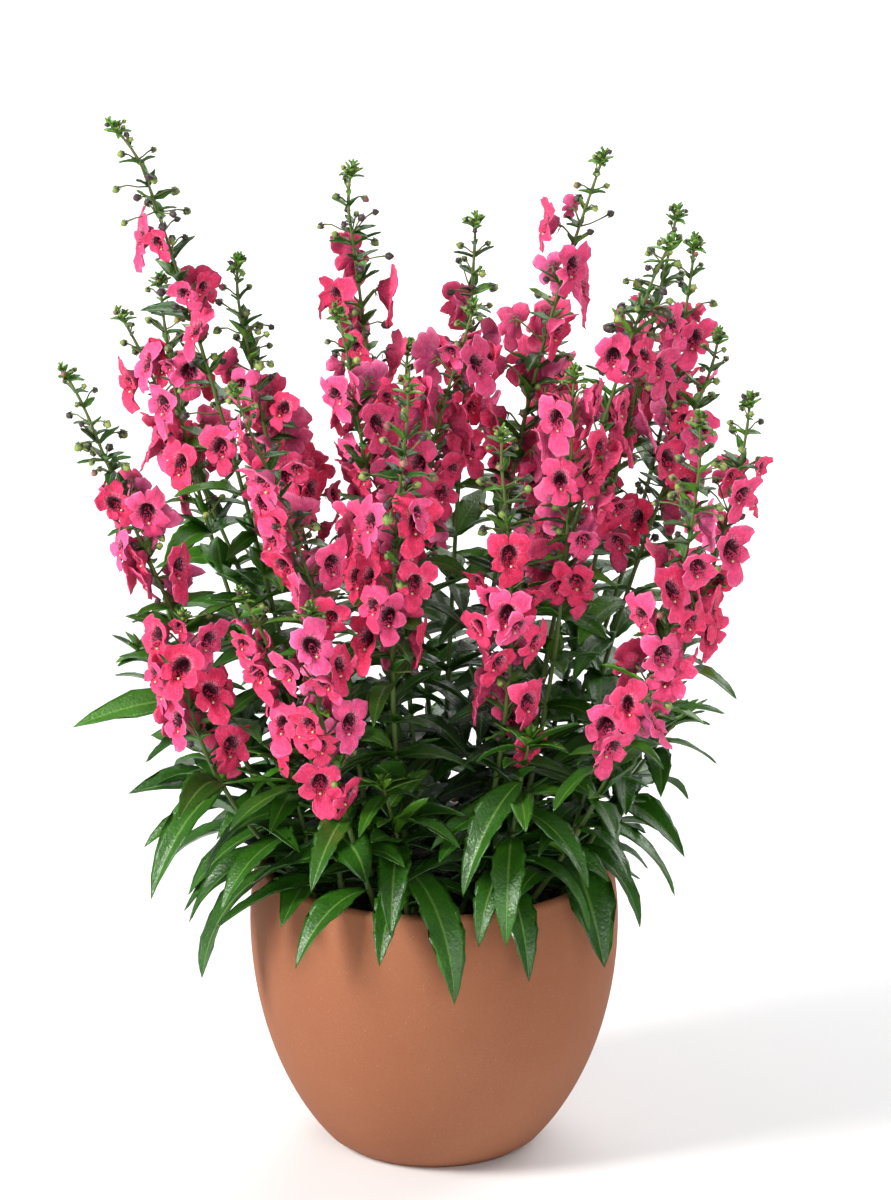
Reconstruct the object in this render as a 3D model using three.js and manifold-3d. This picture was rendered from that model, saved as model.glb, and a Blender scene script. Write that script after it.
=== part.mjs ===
// Potted angelonia: upright flower spikes and lance-shaped leaves, in a smooth round terracotta pot.
// Units are millimetres, +Z is up. The origin is the centre of the pot's base, and -Y is the front.
import * as THREE from "three";
import { mergeVertices } from "three/addons/utils/BufferGeometryUtils.js";
import Module from "manifold-3d";

const wasm = await Module();
wasm.setup();

// Pot and soil
const RIM_HEIGHT = 151;
const POT_RADIUS = 93;
const POT_WIDEST_HEIGHT = 118;
const POT_CURVE_BELOW = 140;
const POT_CURVE_ABOVE = 115;
const POT_WALL = 6.5;
const POT_FLOOR = 9;
const POT_SIDES = 28;
const DRAIN_HOLES = 3;
const DRAIN_RADIUS = 5;
const DRAIN_OFFSET = 25;
const SOIL_TOP = 133;
const SOIL_MOUND = 4;
const GAP = 0.3;

// Stems, sunk in the soil and four-sided
const STEM_SUNK = 26;
const STEM_STRAIGHT = 4;
const STEM_RADIUS = 2.1;
const TIP_RADIUS = 0.85;
const HOLE_CLEARANCE = 0.35;
const LINE_STEPS = 48;

// Spacing of the nodes down a stem, from its tip
const FIRST_NODE = 5;
const BUD_SPACING = 7.5;
const BLOOM_SPACING = 16.5;
const LEAF_SPACING = 40;
const LEAF_CROWDING = 1.2;
const SPIKE_FOOT = 9;
const SPROUT_HALF = 1.1;
const LOWEST_LEAF = 22;
const LOW_SHOOT_NODES = 7;
const LOW_SHOOT_LEAF = 10;

// Leaves
const LEAF_STEPS = 20;
const LEAF_WIDTH = 0.135;
const SHORTER_RIGHT = 0.5;
const LOW_LEAF = 80;
const HIGH_LEAF = 22;
const LEAF_FADE = 170;
const LEAF_FOLD = 0.22;
const LEAF_KEEL = 0.7;
const BRACT_WIDTH = 0.14;
const BIG_LEAF = 50;
const YOUNG_LEAF = 0.35;
const GROWN_DOWN = 50;
const SHADE_RADIUS = 50;
const SHADE_HEIGHT = 60;
const SHADE_FRONT = 30;

// Blooms, seen from the front: right, up and forward of the place where the pedicel ends
const NOTCH_TOP = [0, 7, 5];
const HALF_BLOOM = [
  [2.6, 14.2, 4],
  [9.2, 12.6, 3.5],
  [7.4, 4.4, 6.5],
  [12.8, 2.2, 7.5],
  [11.6, -6.5, 8],
  [5.0, -6.2, 9],
  [5.6, -15.5, 11],
];
const THROAT = [0, 0.5, 3.5];
const CALYX_RADIUS = 2.4;
const CALYX_BACK = 1;
const PEDICEL_LENGTH = 12;
const PEDICEL_RISE = 38;
const LIGHT_TURN = 35;
const LIGHT_SHARE = 0.4;

// Least distance between the sampled points of two plants' pieces
const CLEAR = 5;
const CLEAR_OWN = 3;
const CLEAR_POT = 2.5;

// Flowering shoots: foot on the soil, a place on the way, and the tip; the turn of the lowest pair;
// how many pairs of buds and of blooms it bears, and the share of the blooms that are open.
const FLOWERING = [
  { foot: [-52, 8], way: [-101, 20, 359], tip: [-152, 20, 531], turn: 20, buds: 6, blooms: 8, open: 0.45 },
  { foot: [-46, 30], way: [-117, 45, 324], tip: [-138, 55, 441], turn: 70, buds: 5, blooms: 5, open: 0.6 },
  { foot: [-40, 50], way: [-127, 75, 345], tip: [-158, 90, 411], turn: 10, buds: 4, blooms: 3, open: 0.8 },
  { foot: [-34, 14], way: [-80, 20, 349], tip: [-102, 30, 458], turn: 35, buds: 6, blooms: 5, open: 0.85 },
  { foot: [-30, -40], way: [-67, -75, 342], tip: [-100, -80, 425], turn: 80, buds: 3, blooms: 6, open: 0.65 },
  { foot: [-60, -14], way: [-137, -25, 306], tip: [-180, -25, 417], turn: 55, buds: 6, blooms: 5, open: 0.6 },
  { foot: [-14, 26], way: [-28, 45, 351], tip: [-46, 50, 500], turn: 0, buds: 5, blooms: 8, open: 0.7 },
  { foot: [-17, -6], way: [-31, -20, 342], tip: [-47, -15, 445], turn: 40, buds: 4, blooms: 7, open: 0.8 },
  { foot: [4, 40], way: [14, 60, 356], tip: [22, 75, 467], turn: 15, buds: 5, blooms: 5, open: 0.65 },
  { foot: [2, 8], way: [-4, 10, 347], tip: [22, 15, 438], turn: 60, buds: 3, blooms: 6, open: 0.9 },
  { foot: [22, 16], way: [43, 30, 361], tip: [86, 40, 510], turn: 5, buds: 4, blooms: 9, open: 0.65 },
  { foot: [34, -12], way: [66, -30, 329], tip: [68, -25, 416], turn: 50, buds: 2, blooms: 6, open: 0.9 },
  { foot: [-10, -40], way: [-20, -70, 311], tip: [-10, -75, 428], turn: 85, buds: 7, blooms: 5, open: 1 },
  { foot: [14, -42], way: [38, -65, 288], tip: [30, -70, 400], turn: 75, buds: 6, blooms: 7, open: 0.85 },
  { foot: [44, 30], way: [98, 50, 365], tip: [123, 65, 472], turn: 30, buds: 6, blooms: 5, open: 0.7 },
  { foot: [44, 4], way: [82, 5, 370], tip: [117, 0, 478], turn: 65, buds: 6, blooms: 7, open: 0.75 },
  { foot: [44, 56], way: [116, 90, 351], tip: [133, 110, 444], turn: 25, buds: 5, blooms: 4, open: 0.9 },
  { foot: [60, 14], way: [113, 25, 331], tip: [147, 30, 419], turn: 45, buds: 5, blooms: 4, open: 0.95 },
  { foot: [64, -12], way: [130, -20, 283], tip: [158, -20, 402], turn: 10, buds: 5, blooms: 6, open: 0.95 },
  { foot: [46, -40], way: [103, -75, 260], tip: [132, -75, 410], turn: 60, buds: 6, blooms: 8, open: 0.88 },
  { foot: [-26, -60], way: [-48, -90, 223], tip: [-64, -110, 324], turn: 90, buds: 2, blooms: 6, open: 0.95 },
  { foot: [-44, -52], way: [-67, -70, 248], tip: [-95, -85, 323], turn: 45, buds: 3, blooms: 5, open: 0.9 },
  { foot: [-56, -26], way: [-110, -45, 214], tip: [-122, -50, 298], turn: 75, buds: 1, blooms: 5, open: 0.95 },
  { foot: [-24, 60], way: [-60, 105, 255], tip: [-80, 125, 355], turn: 40, buds: 3, blooms: 4, open: 0.7 },
  { foot: [6, 64], way: [-10, 115, 270], tip: [-15, 140, 378], turn: 70, buds: 3, blooms: 5, open: 0.65 },
  { foot: [28, 58], way: [50, 110, 295], tip: [62, 135, 405], turn: 20, buds: 4, blooms: 5, open: 0.65 },
];

// Leafy shoots without flowers, low round the rim
const LEAFY = [
  { foot: [-13, -62], way: [-17, -67, 178], tip: [-26, -76, 218], turn: 20 },
  { foot: [-60, -42], way: [-64, -46, 178], tip: [-76, -54, 224], turn: 15 },
  { foot: [34, -58], way: [38, -62, 178], tip: [48, -70, 240], turn: 0 },
  { foot: [64, -34], way: [70, -38, 178], tip: [86, -48, 230], turn: 80 },
  { foot: [72, 2], way: [92, 4, 178], tip: [126, 4, 226], turn: 10 },
  { foot: [-70, 8], way: [-104, 8, 200], tip: [-148, 8, 258], turn: 55 },
];

// Random draws that repeat from one run to the next
let drawState = 20417;
function draw(low, high) {
  drawState = (Math.imul(drawState, 1664525) + 1013904223) >>> 0;
  return low + ((high - low) * drawState) / 4294967296;
}

const vector = (x, y, z) => new THREE.Vector3(x, y, z);
const radians = (degrees) => (degrees * Math.PI) / 180;

// Unit direction of a compass turn (0 is +X, 90 is +Y) and a rise above the horizontal, in degrees
function heading(turn, rise) {
  const level = Math.cos(radians(rise));
  return vector(
    level * Math.cos(radians(turn)),
    level * Math.sin(radians(turn)),
    Math.sin(radians(rise)),
  );
}

// How far to turn from one compass turn to another, between -180 and 180
const turnBetween = (from, to) => ((((to - from) % 360) + 540) % 360) - 180;

// The outer radius of the pot at a height: an ellipse that is taller below its widest place
function potRadius(z) {
  const reach = z < POT_WIDEST_HEIGHT ? POT_CURVE_BELOW : POT_CURVE_ABOVE;
  return POT_RADIUS * Math.sqrt(1 - ((z - POT_WIDEST_HEIGHT) / reach) ** 2);
}

// A stem's line: upright through the soil, then x and y are quadratics in the height,
// through the foot, the place on the way and the tip.
function makeStem(shoot) {
  const start = SOIL_TOP + STEM_STRAIGHT;
  const rise = shoot.tip[2] - start;
  const mid = (shoot.way[2] - start) / rise;
  const blend = (a, b, c, t) =>
    (a * (t - mid) * (t - 1)) / mid +
    (b * t * (t - 1)) / (mid * (mid - 1)) +
    (c * t * (t - mid)) / (1 - mid);
  const at = (t) =>
    t <= 0
      ? vector(shoot.foot[0], shoot.foot[1], start + rise * t)
      : vector(
          blend(shoot.foot[0], shoot.way[0], shoot.tip[0], t),
          blend(shoot.foot[1], shoot.way[1], shoot.tip[1], t),
          start + rise * t,
        );
  let length = 0;
  for (let i = 0; i < LINE_STEPS; i++)
    length += at(i / LINE_STEPS).distanceTo(at((i + 1) / LINE_STEPS));
  const radius = (t) => STEM_RADIUS + (TIP_RADIUS - STEM_RADIUS) * Math.max(t, 0);
  return { at, length, radius, rise, start, turn: shoot.turn };
}

// The face of a stem that looks most nearly towards a turn
const faceTowards = (stem, turn) => (((Math.round((turn - stem.turn) / 90) - 1) % 4) + 4) % 4;

// The nodes of a shoot down from its tip: how far down each is, what it bears, and its turn
function makeNodes(shoot, stem) {
  const nodes = [];
  let down = FIRST_NODE;
  let turn = shoot.turn;
  const buds = shoot.buds ?? 0;
  const blooms = shoot.blooms ?? 0;
  for (let k = 0; k < buds + blooms; k++) {
    nodes.push({ down, turn, bears: k < buds ? "bud" : "bloom", rank: k });
    down += k < buds - 1 ? BUD_SPACING + k : BLOOM_SPACING;
    turn += 90;
  }
  const foot = blooms ? down - BLOOM_SPACING + SPIKE_FOOT : 0;
  const leafTop = blooms ? foot + SPIKE_FOOT : FIRST_NODE + 3;
  const leafEnd = stem.length - (blooms ? LOWEST_LEAF : LOW_SHOOT_LEAF);
  const spacing = blooms ? LEAF_SPACING : stem.length / LOW_SHOOT_NODES;
  const count = Math.max(2, Math.round((leafEnd - leafTop) / spacing) + 1);
  for (let k = 0; k < count; k++) {
    const share = 1 - (1 - k / (count - 1)) ** LEAF_CROWDING;
    nodes.push({ down: leafTop + (leafEnd - leafTop) * share, turn, bears: "leaf" });
    turn += 90;
  }
  return { nodes, spikeFoot: foot };
}

// A leaf's midrib: equal steps whose rise falls by droop and whose turn swings by sweep
function leafLine(leaf, steps = LEAF_STEPS) {
  const points = [leaf.root.clone()];
  for (let k = 0; k < steps; k++) {
    const s = (k + 0.5) / steps;
    const step = heading(leaf.turn + leaf.sweep * s, leaf.rise - leaf.droop * s ** 0.7);
    points.push(points[k].clone().addScaledVector(step, leaf.length / steps));
  }
  return points;
}

// Half the width of a leaf at a share s of its length: a half sine, widest at two fifths
const leafHalfWidth = (leaf, s) => leaf.width * Math.sin(Math.PI * s ** 0.75);

// The two directions across a leaf at a share s of its length: to its side, and up from its face
function leafAcross(leaf, s) {
  const along = heading(leaf.turn + leaf.sweep * s, leaf.rise - leaf.droop * s ** 0.7);
  const flat = heading(leaf.turn + leaf.sweep * s + 90, 0);
  const upright = along.clone().cross(flat);
  const roll = radians(leaf.roll);
  const side = flat.multiplyScalar(Math.cos(roll)).addScaledVector(upright, Math.sin(roll));
  return { side, face: along.cross(side) };
}

// Points spread over a leaf, to test its clearance with
function leafSamples(leaf) {
  const line = leafLine(leaf);
  const samples = [];
  for (let k = 2; k <= LEAF_STEPS; k++) {
    const s = k / LEAF_STEPS;
    const width = leafHalfWidth(leaf, s);
    const { side } = leafAcross(leaf, s);
    for (const share of width > 2.5 ? [-1, -0.5, 0, 0.5, 1] : [-1, 0, 1])
      samples.push(line[k].clone().addScaledVector(side, share * width));
  }
  return samples;
}

// The three directions of a bloom that faces a turn and a rise: right, up and forward
function bloomAxes(bloom) {
  const forward = heading(bloom.turn, bloom.rise);
  const level = heading(bloom.turn + 90, 0);
  const upright = forward.clone().cross(level);
  const roll = radians(bloom.roll);
  const right = level.multiplyScalar(Math.cos(roll)).addScaledVector(upright, Math.sin(roll));
  return { right, up: forward.clone().cross(right), forward };
}

// The compass turn that a bloom's pedicel takes
const pedicelTurn = ({ root, seat }) => (Math.atan2(seat.y - root.y, seat.x - root.x) * 180) / Math.PI;

// A bloom's outline, anticlockwise from its top notch as seen from the front
function bloomOutline() {
  const left = HALF_BLOOM.map(([right, up, forward]) => [-right, up, forward]);
  return [NOTCH_TOP, ...left, ...HALF_BLOOM.toReversed()];
}

function bloomPoint(bloom, axes, [right, up, forward]) {
  return bloom.seat
    .clone()
    .addScaledVector(axes.right, right * bloom.size)
    .addScaledVector(axes.up, up * bloom.size)
    .addScaledVector(axes.forward, forward * bloom.size);
}

// Points spread over a bloom, to test its clearance with
function bloomSamples(bloom) {
  const axes = bloomAxes(bloom);
  const outline = bloomOutline().map((place) => bloomPoint(bloom, axes, place));
  const throat = bloomPoint(bloom, axes, THROAT);
  const samples = [throat, bloom.seat, bloom.root.clone().lerp(bloom.seat, 0.5)];
  outline.forEach((point, i) => {
    const next = outline[(i + 1) % outline.length];
    samples.push(point, point.clone().lerp(next, 0.5), point.clone().lerp(throat, 0.5));
    samples.push(point.clone().lerp(bloom.seat, 0.5));
  });
  return samples;
}

// What already stands: for each piece its owner, its points and a sphere round them
const standing = [];
function stand(owner, points, kind) {
  const centre = vector(0, 0, 0);
  for (const point of points) centre.addScaledVector(point, 1 / points.length);
  let reach = 0;
  for (const point of points) reach = Math.max(reach, centre.distanceTo(point));
  standing.push({ owner, points, centre, reach, kind });
}

// What a piece may not touch on its own shoot, besides its own kind
const MEETS_OWN = { bloom: ["stem"], bract: ["bloom"] };

// Whether points keep clear of the pot, of the soil and of every piece of another owner
function isClear(owner, points, kind) {
  for (const point of points) {
    const out = Math.hypot(point.x, point.y);
    const wall = potRadius(Math.max(0, Math.min(point.z, RIM_HEIGHT)));
    const overWall = out > wall - POT_WALL - CLEAR_POT && out < wall + CLEAR_POT;
    if (point.z < SOIL_TOP + SOIL_MOUND + CLEAR_POT && out < wall + CLEAR_POT) return false;
    if (point.z < RIM_HEIGHT + CLEAR_POT && overWall) return false;
  }
  const centre = vector(0, 0, 0);
  for (const point of points) centre.addScaledVector(point, 1 / points.length);
  let reach = 0;
  for (const point of points) reach = Math.max(reach, centre.distanceTo(point));
  for (const other of standing) {
    const own = other.owner === owner;
    if (own && other.kind !== kind && !MEETS_OWN[kind]?.includes(other.kind)) continue;
    const least = own ? CLEAR_OWN : CLEAR;
    if (centre.distanceTo(other.centre) > reach + other.reach + least) continue;
    for (const a of points)
      for (const b of other.points) if (a.distanceToSquared(b) < least * least) return false;
  }
  return true;
}

// The whole arrangement: every stem first, then the blooms, leaves, bracts and buds,
// each at the first of a few turns and sizes that keeps it clear.
const shoots = [...FLOWERING, ...LEAFY].map((row, i) => {
  const stem = makeStem(row);
  const { nodes, spikeFoot } = makeNodes(row, stem);
  const number = String(i + 1).padStart(2, "0");
  return { row, stem, nodes, spikeFoot, number, blooms: [], leaves: [], bracts: [], buds: [] };
});

const ownerAt = (shoot, down) =>
  down < shoot.spikeFoot ? "spike-" + shoot.number : "stem-" + shoot.number;

for (const shoot of shoots) {
  const { stem } = shoot;
  for (const owner of ["stem-", "spike-"]) {
    const points = [];
    const steps = Math.round(stem.length / 3.5);
    for (let k = 0; k <= steps; k++) {
      const down = (stem.length * k) / steps;
      if (ownerAt(shoot, down) === owner + shoot.number) points.push(stem.at(1 - down / stem.length));
    }
    if (points.length) stand(owner + shoot.number, points, "stem");
  }
}

// Leaves set by hand, over the rim: shoot, node up from its foot, turn, length, rise, droop, sweep
const RIM_LEAVES = [
  { shoot: 27, node: 2, turn: -62, length: 88, rise: 22, droop: 112, sweep: 0 },
  { shoot: 27, node: 1, turn: -104, length: 64, rise: 24, droop: 108, sweep: 0 },
  { shoot: 27, node: 3, turn: -94, length: 66, rise: 10, droop: 95, sweep: 0 },
  { shoot: 22, node: 0, turn: 204, length: 72, rise: 18, droop: 52, sweep: 0 },
  { shoot: 21, node: 0, turn: 222, length: 62, rise: 20, droop: 86, sweep: 0 },
  { shoot: 27, node: 2, turn: -18, length: 76, rise: 16, droop: 52, sweep: -6 },
  { shoot: 27, node: 4, turn: 178, length: 50, rise: 6, droop: 36, sweep: 0 },
  { shoot: 27, node: 4, turn: -40, length: 46, rise: 30, droop: 60, sweep: 0 },
  { shoot: 27, node: 5, turn: -110, length: 40, rise: 10, droop: 40, sweep: 0 },
  { shoot: 28, node: 2, turn: 196, length: 78, rise: 22, droop: 108, sweep: 0 },
  { shoot: 28, node: 3, turn: 226, length: 72, rise: 20, droop: 100, sweep: 0 },
  { shoot: 28, node: 4, turn: 178, length: 66, rise: 20, droop: 112, sweep: 0 },
  { shoot: 29, node: 1, turn: -95, length: 64, rise: 26, droop: 108, sweep: 0 },
  { shoot: 29, node: 2, turn: 214, length: 58, rise: 22, droop: 96, sweep: 0 },
  { shoot: 29, node: 3, turn: 246, length: 66, rise: 12, droop: 98, sweep: 0 },
  { shoot: 29, node: 2, turn: -36, length: 62, rise: 34, droop: 118, sweep: -14 },
  { shoot: 29, node: 5, turn: 232, length: 70, rise: -10, droop: 60, sweep: 0 },
  { shoot: 29, node: 4, turn: -40, length: 60, rise: 14, droop: 80, sweep: 0 },
  { shoot: 30, node: 4, turn: 243, length: 84, rise: 4, droop: 62, sweep: 0 },
  { shoot: 30, node: 3, turn: -10, length: 68, rise: 26, droop: 100, sweep: 0 },
  { shoot: 30, node: 2, turn: -36, length: 62, rise: 30, droop: 112, sweep: 0 },
];

function tryPlace(owner, kind, tries, samplesOf) {
  for (const piece of tries) {
    const samples = samplesOf(piece);
    if (isClear(owner, samples, kind)) {
      stand(owner, samples, kind);
      return piece;
    }
  }
  return null;
}

const TURNS = [0, 20, -20, 36, -36];
const BESIDE = 45;

function placeBloom(shoot, node, turn) {
  const present = draw(0, 1) < shoot.row.open;
  const jitter = draw(-10, 10);
  const rise = draw(-8, 8);
  const roll = draw(-10, 10);
  const size = draw(0.84, 1);
  if (!present) return;
  const root = shoot.stem.at(1 - node.down / shoot.stem.length);
  const face = faceTowards(shoot.stem, turn);
  const outward = (Math.atan2(root.y, root.x) * 180) / Math.PI;
  const tries = [];
  for (const reach of [1, 1.25])
    for (const off of TURNS) {
      const facing = turn + jitter + off;
      const lean = Math.max(-LIGHT_TURN, Math.min(LIGHT_TURN, turnBetween(facing, outward) * LIGHT_SHARE));
      const seat = root
        .clone()
        .addScaledVector(heading(facing, PEDICEL_RISE), PEDICEL_LENGTH * reach);
      tries.push({ kind: "bloom", down: node.down, face, root, seat, turn: facing + lean, rise, roll, size });
    }
  const owner = "spike-" + shoot.number;
  const bloom = tryPlace(owner, "bloom", tries, bloomSamples);
  if (bloom) shoot.blooms.push(bloom);
}

function placeLeaf(shoot, down, turn, kind, wish) {
  const root = shoot.stem.at(1 - down / shoot.stem.length);
  const face = faceTowards(shoot.stem, turn);
  const besides = shoot.leaves.filter((leaf) => leaf.down === down);
  if (besides.some((leaf) => leaf.face === face)) return;
  const tries = [];
  for (const size of [1, 0.8, 0.62])
    for (const lift of kind === "leaf" ? [0, 18, -18] : [0, -18])
      for (const off of TURNS) {
        if (besides.some((leaf) => Math.abs(turnBetween(leaf.turn, turn + off)) < BESIDE)) continue;
        const out = shoot.stem.turn + 90 * (face + 1);
        if (kind === "bract" && Math.abs(turnBetween(out, turn + off)) > BESIDE - 8) continue;
        tries.push({
          ...wish,
          kind,
          down,
          face,
          root,
          turn: turn + off,
          rise: wish.rise + lift,
          length: wish.length * size,
          width: wish.width * size,
        });
      }
  const owner = ownerAt(shoot, down);
  const leaf = tryPlace(owner, kind, tries, leafSamples);
  if (leaf) (kind === "leaf" ? shoot.leaves : shoot.bracts).push(leaf);
}

for (const wish of RIM_LEAVES) {
  const shoot = shoots[wish.shoot - 1];
  const width = wish.length * LEAF_WIDTH * 0.85;
  placeLeaf(shoot, shoot.nodes.at(-1 - wish.node).down, wish.turn, "leaf", { ...wish, width, roll: 0 });
}

for (const shoot of shoots)
  for (const node of shoot.nodes)
    if (node.bears === "bloom") for (const half of [0, 180]) placeBloom(shoot, node, node.turn + half);

for (const shoot of shoots)
  for (const node of shoot.nodes)
    if (node.bears === "leaf")
      for (const half of [0, 180]) {
        const height = shoot.stem.length - node.down;
        const root = shoot.stem.at(1 - node.down / shoot.stem.length);
        if (height < SHADE_HEIGHT && root.y > -SHADE_FRONT && Math.hypot(root.x, root.y) < SHADE_RADIUS)
          continue;
        const low = Math.exp(-height / LEAF_FADE);
        const grown = Math.min(1, YOUNG_LEAF + node.down / GROWN_DOWN);
        const right = Math.max(0, Math.cos(radians(node.turn + half)));
        const full = (HIGH_LEAF + (LOW_LEAF - HIGH_LEAF) * low) * (1 - SHORTER_RIGHT * right * low);
        const length = full * grown * draw(0.9, 1.1);
        placeLeaf(shoot, node.down, node.turn + half + draw(-12, 12), "leaf", {
          length,
          width: length * LEAF_WIDTH * draw(0.85, 1.05),
          rise: 44 - 18 * low + draw(-10, 10),
          droop: 44 + 44 * low + draw(-12, 12),
          sweep: draw(-18, 18),
          roll: draw(-20, 20),
        });
      }

for (const shoot of shoots)
  for (const node of shoot.nodes)
    if (node.bears === "bloom" && node.rank === shoot.row.buds + shoot.row.blooms - 1)
      for (const half of [0, 180]) {
        const face = faceTowards(shoot.stem, node.turn + half);
        const over = shoot.blooms.find((bloom) => bloom.down === node.down && bloom.face === face);
        const turn = over ? pedicelTurn(over) : node.turn + half;
        const below = (2 * SPROUT_HALF * shoot.stem.length) / shoot.stem.rise;
        const length = Math.min(24, 8 + 1.9 * node.rank) * draw(0.85, 1.1);
        placeLeaf(shoot, node.down + below, turn + draw(-5, 5), "bract", {
          length,
          width: length * BRACT_WIDTH,
          rise: 32,
          droop: draw(30, 65),
          sweep: 0,
          roll: draw(-15, 15),
        });
      }

for (const shoot of shoots)
  for (const node of shoot.nodes)
    if (node.bears === "bud" && node.rank === shoot.row.buds - 1)
      for (const half of [0, 180]) {
        const { down, rank } = node;
        const root = shoot.stem.at(1 - down / shoot.stem.length);
        const face = faceTowards(shoot.stem, node.turn + half);
        const turn = node.turn + half + draw(-15, 15);
        const [length, size] = [4.5 + 1.8 * rank, 1.1 + 0.25 * rank];
        shoot.buds.push({ kind: "bud", down, face, root, turn, rise: 48 - 4 * rank, length, size });
      }

// Solids. A sprout is a leaf, bract, bud or bloom that grows out of one of a stem's four faces.

// A square ring with its faces towards the turns that the pairs of leaves and blooms take
function stemRing(centre, radius, turn) {
  return [45, 135, 225, 315].map((corner) =>
    centre.clone().addScaledVector(heading(turn + corner, 0), radius),
  );
}

// A closed mesh that grows point by point
function makeShell() {
  const points = [];
  const faces = [];
  const add = (list) => list.map((point) => points.push(point) - 1);
  // Splits a four-cornered face along the diagonal that lies further out
  const quad = (a, b, c, d) => {
    const one = points[c].clone().sub(points[a]);
    const other = points[d].clone().sub(points[b]);
    const between = points[a].clone().add(points[c]).sub(points[b]).sub(points[d]);
    if (one.cross(other).dot(between) >= 0) faces.push([a, b, c], [a, c, d]);
    else faces.push([a, b, d], [b, c, d]);
  };
  // Joins two rings with as many points, each anticlockwise as seen from the next
  const band = (from, to) =>
    from.forEach((a, i) => {
      const n = (i + 1) % from.length;
      quad(a, from[n], to[n], to[i]);
    });
  // Joins the loop of a stem's face, top right first, to a ring of three: right, left and below
  const sprout = ([b, a, c, d], [right, left, below]) => {
    quad(b, a, left, right);
    quad(a, c, below, left);
    faces.push([c, d, below]);
    quad(d, b, right, below);
  };
  const close = (ring, point) =>
    ring.forEach((a, i) => faces.push([a, ring[(i + 1) % ring.length], point]));
  return { points, faces, add, band, sprout, close };
}

// A leaf or bract: a folded blade with a keel, in the given stations, up to its pointed tip
function growLeaf(shell, loop, leaf) {
  const line = leafLine(leaf);
  const stations = leaf.length > BIG_LEAF ? [7, 14] : [8];
  const rings = stations.map((k) => {
    const s = k / LEAF_STEPS;
    const { side, face } = leafAcross(leaf, s);
    const width = leafHalfWidth(leaf, s);
    const edge = line[k].clone().addScaledVector(face, LEAF_FOLD * width);
    return shell.add([
      edge.clone().addScaledVector(side, width),
      edge.clone().addScaledVector(side, -width),
      line[k].clone().addScaledVector(face, -LEAF_KEEL),
    ]);
  });
  shell.sprout(loop, rings[0]);
  if (rings[1]) shell.band(rings[0], rings[1]);
  const [tip] = shell.add([line[LEAF_STEPS]]);
  shell.close(rings.at(-1), tip);
}

// A bloom: the pedicel, the calyx, a back that widens to five lobes, and the hollow throat
function growBloom(shell, loop, bloom) {
  const axes = bloomAxes(bloom);
  const calyx = shell.add(
    [30, 150, 270].map((degrees) =>
      bloom.seat
        .clone()
        .addScaledVector(axes.forward, -CALYX_BACK)
        .addScaledVector(axes.right, CALYX_RADIUS * Math.cos(radians(degrees)))
        .addScaledVector(axes.up, CALYX_RADIUS * Math.sin(radians(degrees))),
    ),
  );
  shell.sprout(loop, calyx);
  const outline = shell.add(bloomOutline().map((place) => bloomPoint(bloom, axes, place)));
  const [throat] = shell.add([bloomPoint(bloom, axes, THROAT)]);
  const third = outline.length / 3;
  outline.forEach((point, i) => {
    const n = (i + 1) % outline.length;
    const behind = calyx[(Math.floor(i / third) + 1) % 3];
    shell.faces.push([throat, point, outline[n]], [outline[n], point, behind]);
    if (n % third === 0)
      shell.faces.push([outline[n], behind, calyx[(calyx.indexOf(behind) + 1) % 3]]);
  });
}

// A bud: a pedicel that swells to the bud and ends in a point
function growBud(shell, loop, bud) {
  const along = heading(bud.turn, bud.rise);
  const side = heading(bud.turn + 90, 0);
  const up = along.clone().cross(side);
  const centre = bud.root.clone().addScaledVector(along, bud.length);
  const ring = shell.add(
    [30, 150, 270].map((degrees) =>
      centre
        .clone()
        .addScaledVector(side, bud.size * Math.cos(radians(degrees)))
        .addScaledVector(up, bud.size * Math.sin(radians(degrees))),
    ),
  );
  shell.sprout(loop, ring);
  const [tip] = shell.add([centre.addScaledVector(along, bud.size * 1.6)]);
  shell.close(ring, tip);
}

const GROW = { leaf: growLeaf, bract: growLeaf, bloom: growBloom, bud: growBud };

// The stretch of a stem between two heights, flat at both ends, with sprouts out of its faces
function growStem(stem, low, high, sprouts) {
  const shell = makeShell();
  const heightOf = (down) => stem.start + stem.rise * (1 - down / stem.length);
  const downs = [...new Set(sprouts.map((sprout) => sprout.down))].sort((a, b) => b - a);
  const levels = [{ height: low }];
  if (low < stem.start) levels.push({ height: stem.start });
  for (const down of downs) {
    const height = heightOf(down);
    const room = height - SPROUT_HALF - levels.at(-1).height;
    if (room < -0.01) throw new Error("two nodes of a stem meet");
    if (room > 0.01) levels.push({ height: height - SPROUT_HALF });
    levels.at(-1).down = down;
    levels.push({ height: height + SPROUT_HALF });
  }
  levels.push({ height: high });
  const rings = levels.map(({ height }) => {
    const t = (height - stem.start) / stem.rise;
    return shell.add(stemRing(stem.at(t), stem.radius(t), stem.turn));
  });
  for (let j = 0; j + 1 < rings.length; j++)
    for (let face = 0; face < 4; face++) {
      const [a, b] = [rings[j][face], rings[j][(face + 1) % 4]];
      const [c, d] = [rings[j + 1][face], rings[j + 1][(face + 1) % 4]];
      const sprout = sprouts.find((one) => one.down === levels[j].down && one.face === face);
      if (sprout) GROW[sprout.kind](shell, [d, c, a, b], sprout);
      else shell.faces.push([a, b, d], [a, d, c]);
    }
  const [p, q, r, s] = rings[0];
  shell.faces.push([p, r, q], [p, s, r]);
  const [e, f, g, h] = rings.at(-1);
  shell.faces.push([e, f, g], [e, g, h]);
  return shell;
}

function solid({ points, faces }) {
  const vertProperties = new Float32Array(points.flatMap((point) => [point.x, point.y, point.z]));
  const triVerts = new Uint32Array(faces.flat());
  return new wasm.Manifold(new wasm.Mesh({ numProp: 3, vertProperties, triVerts }));
}

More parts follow.
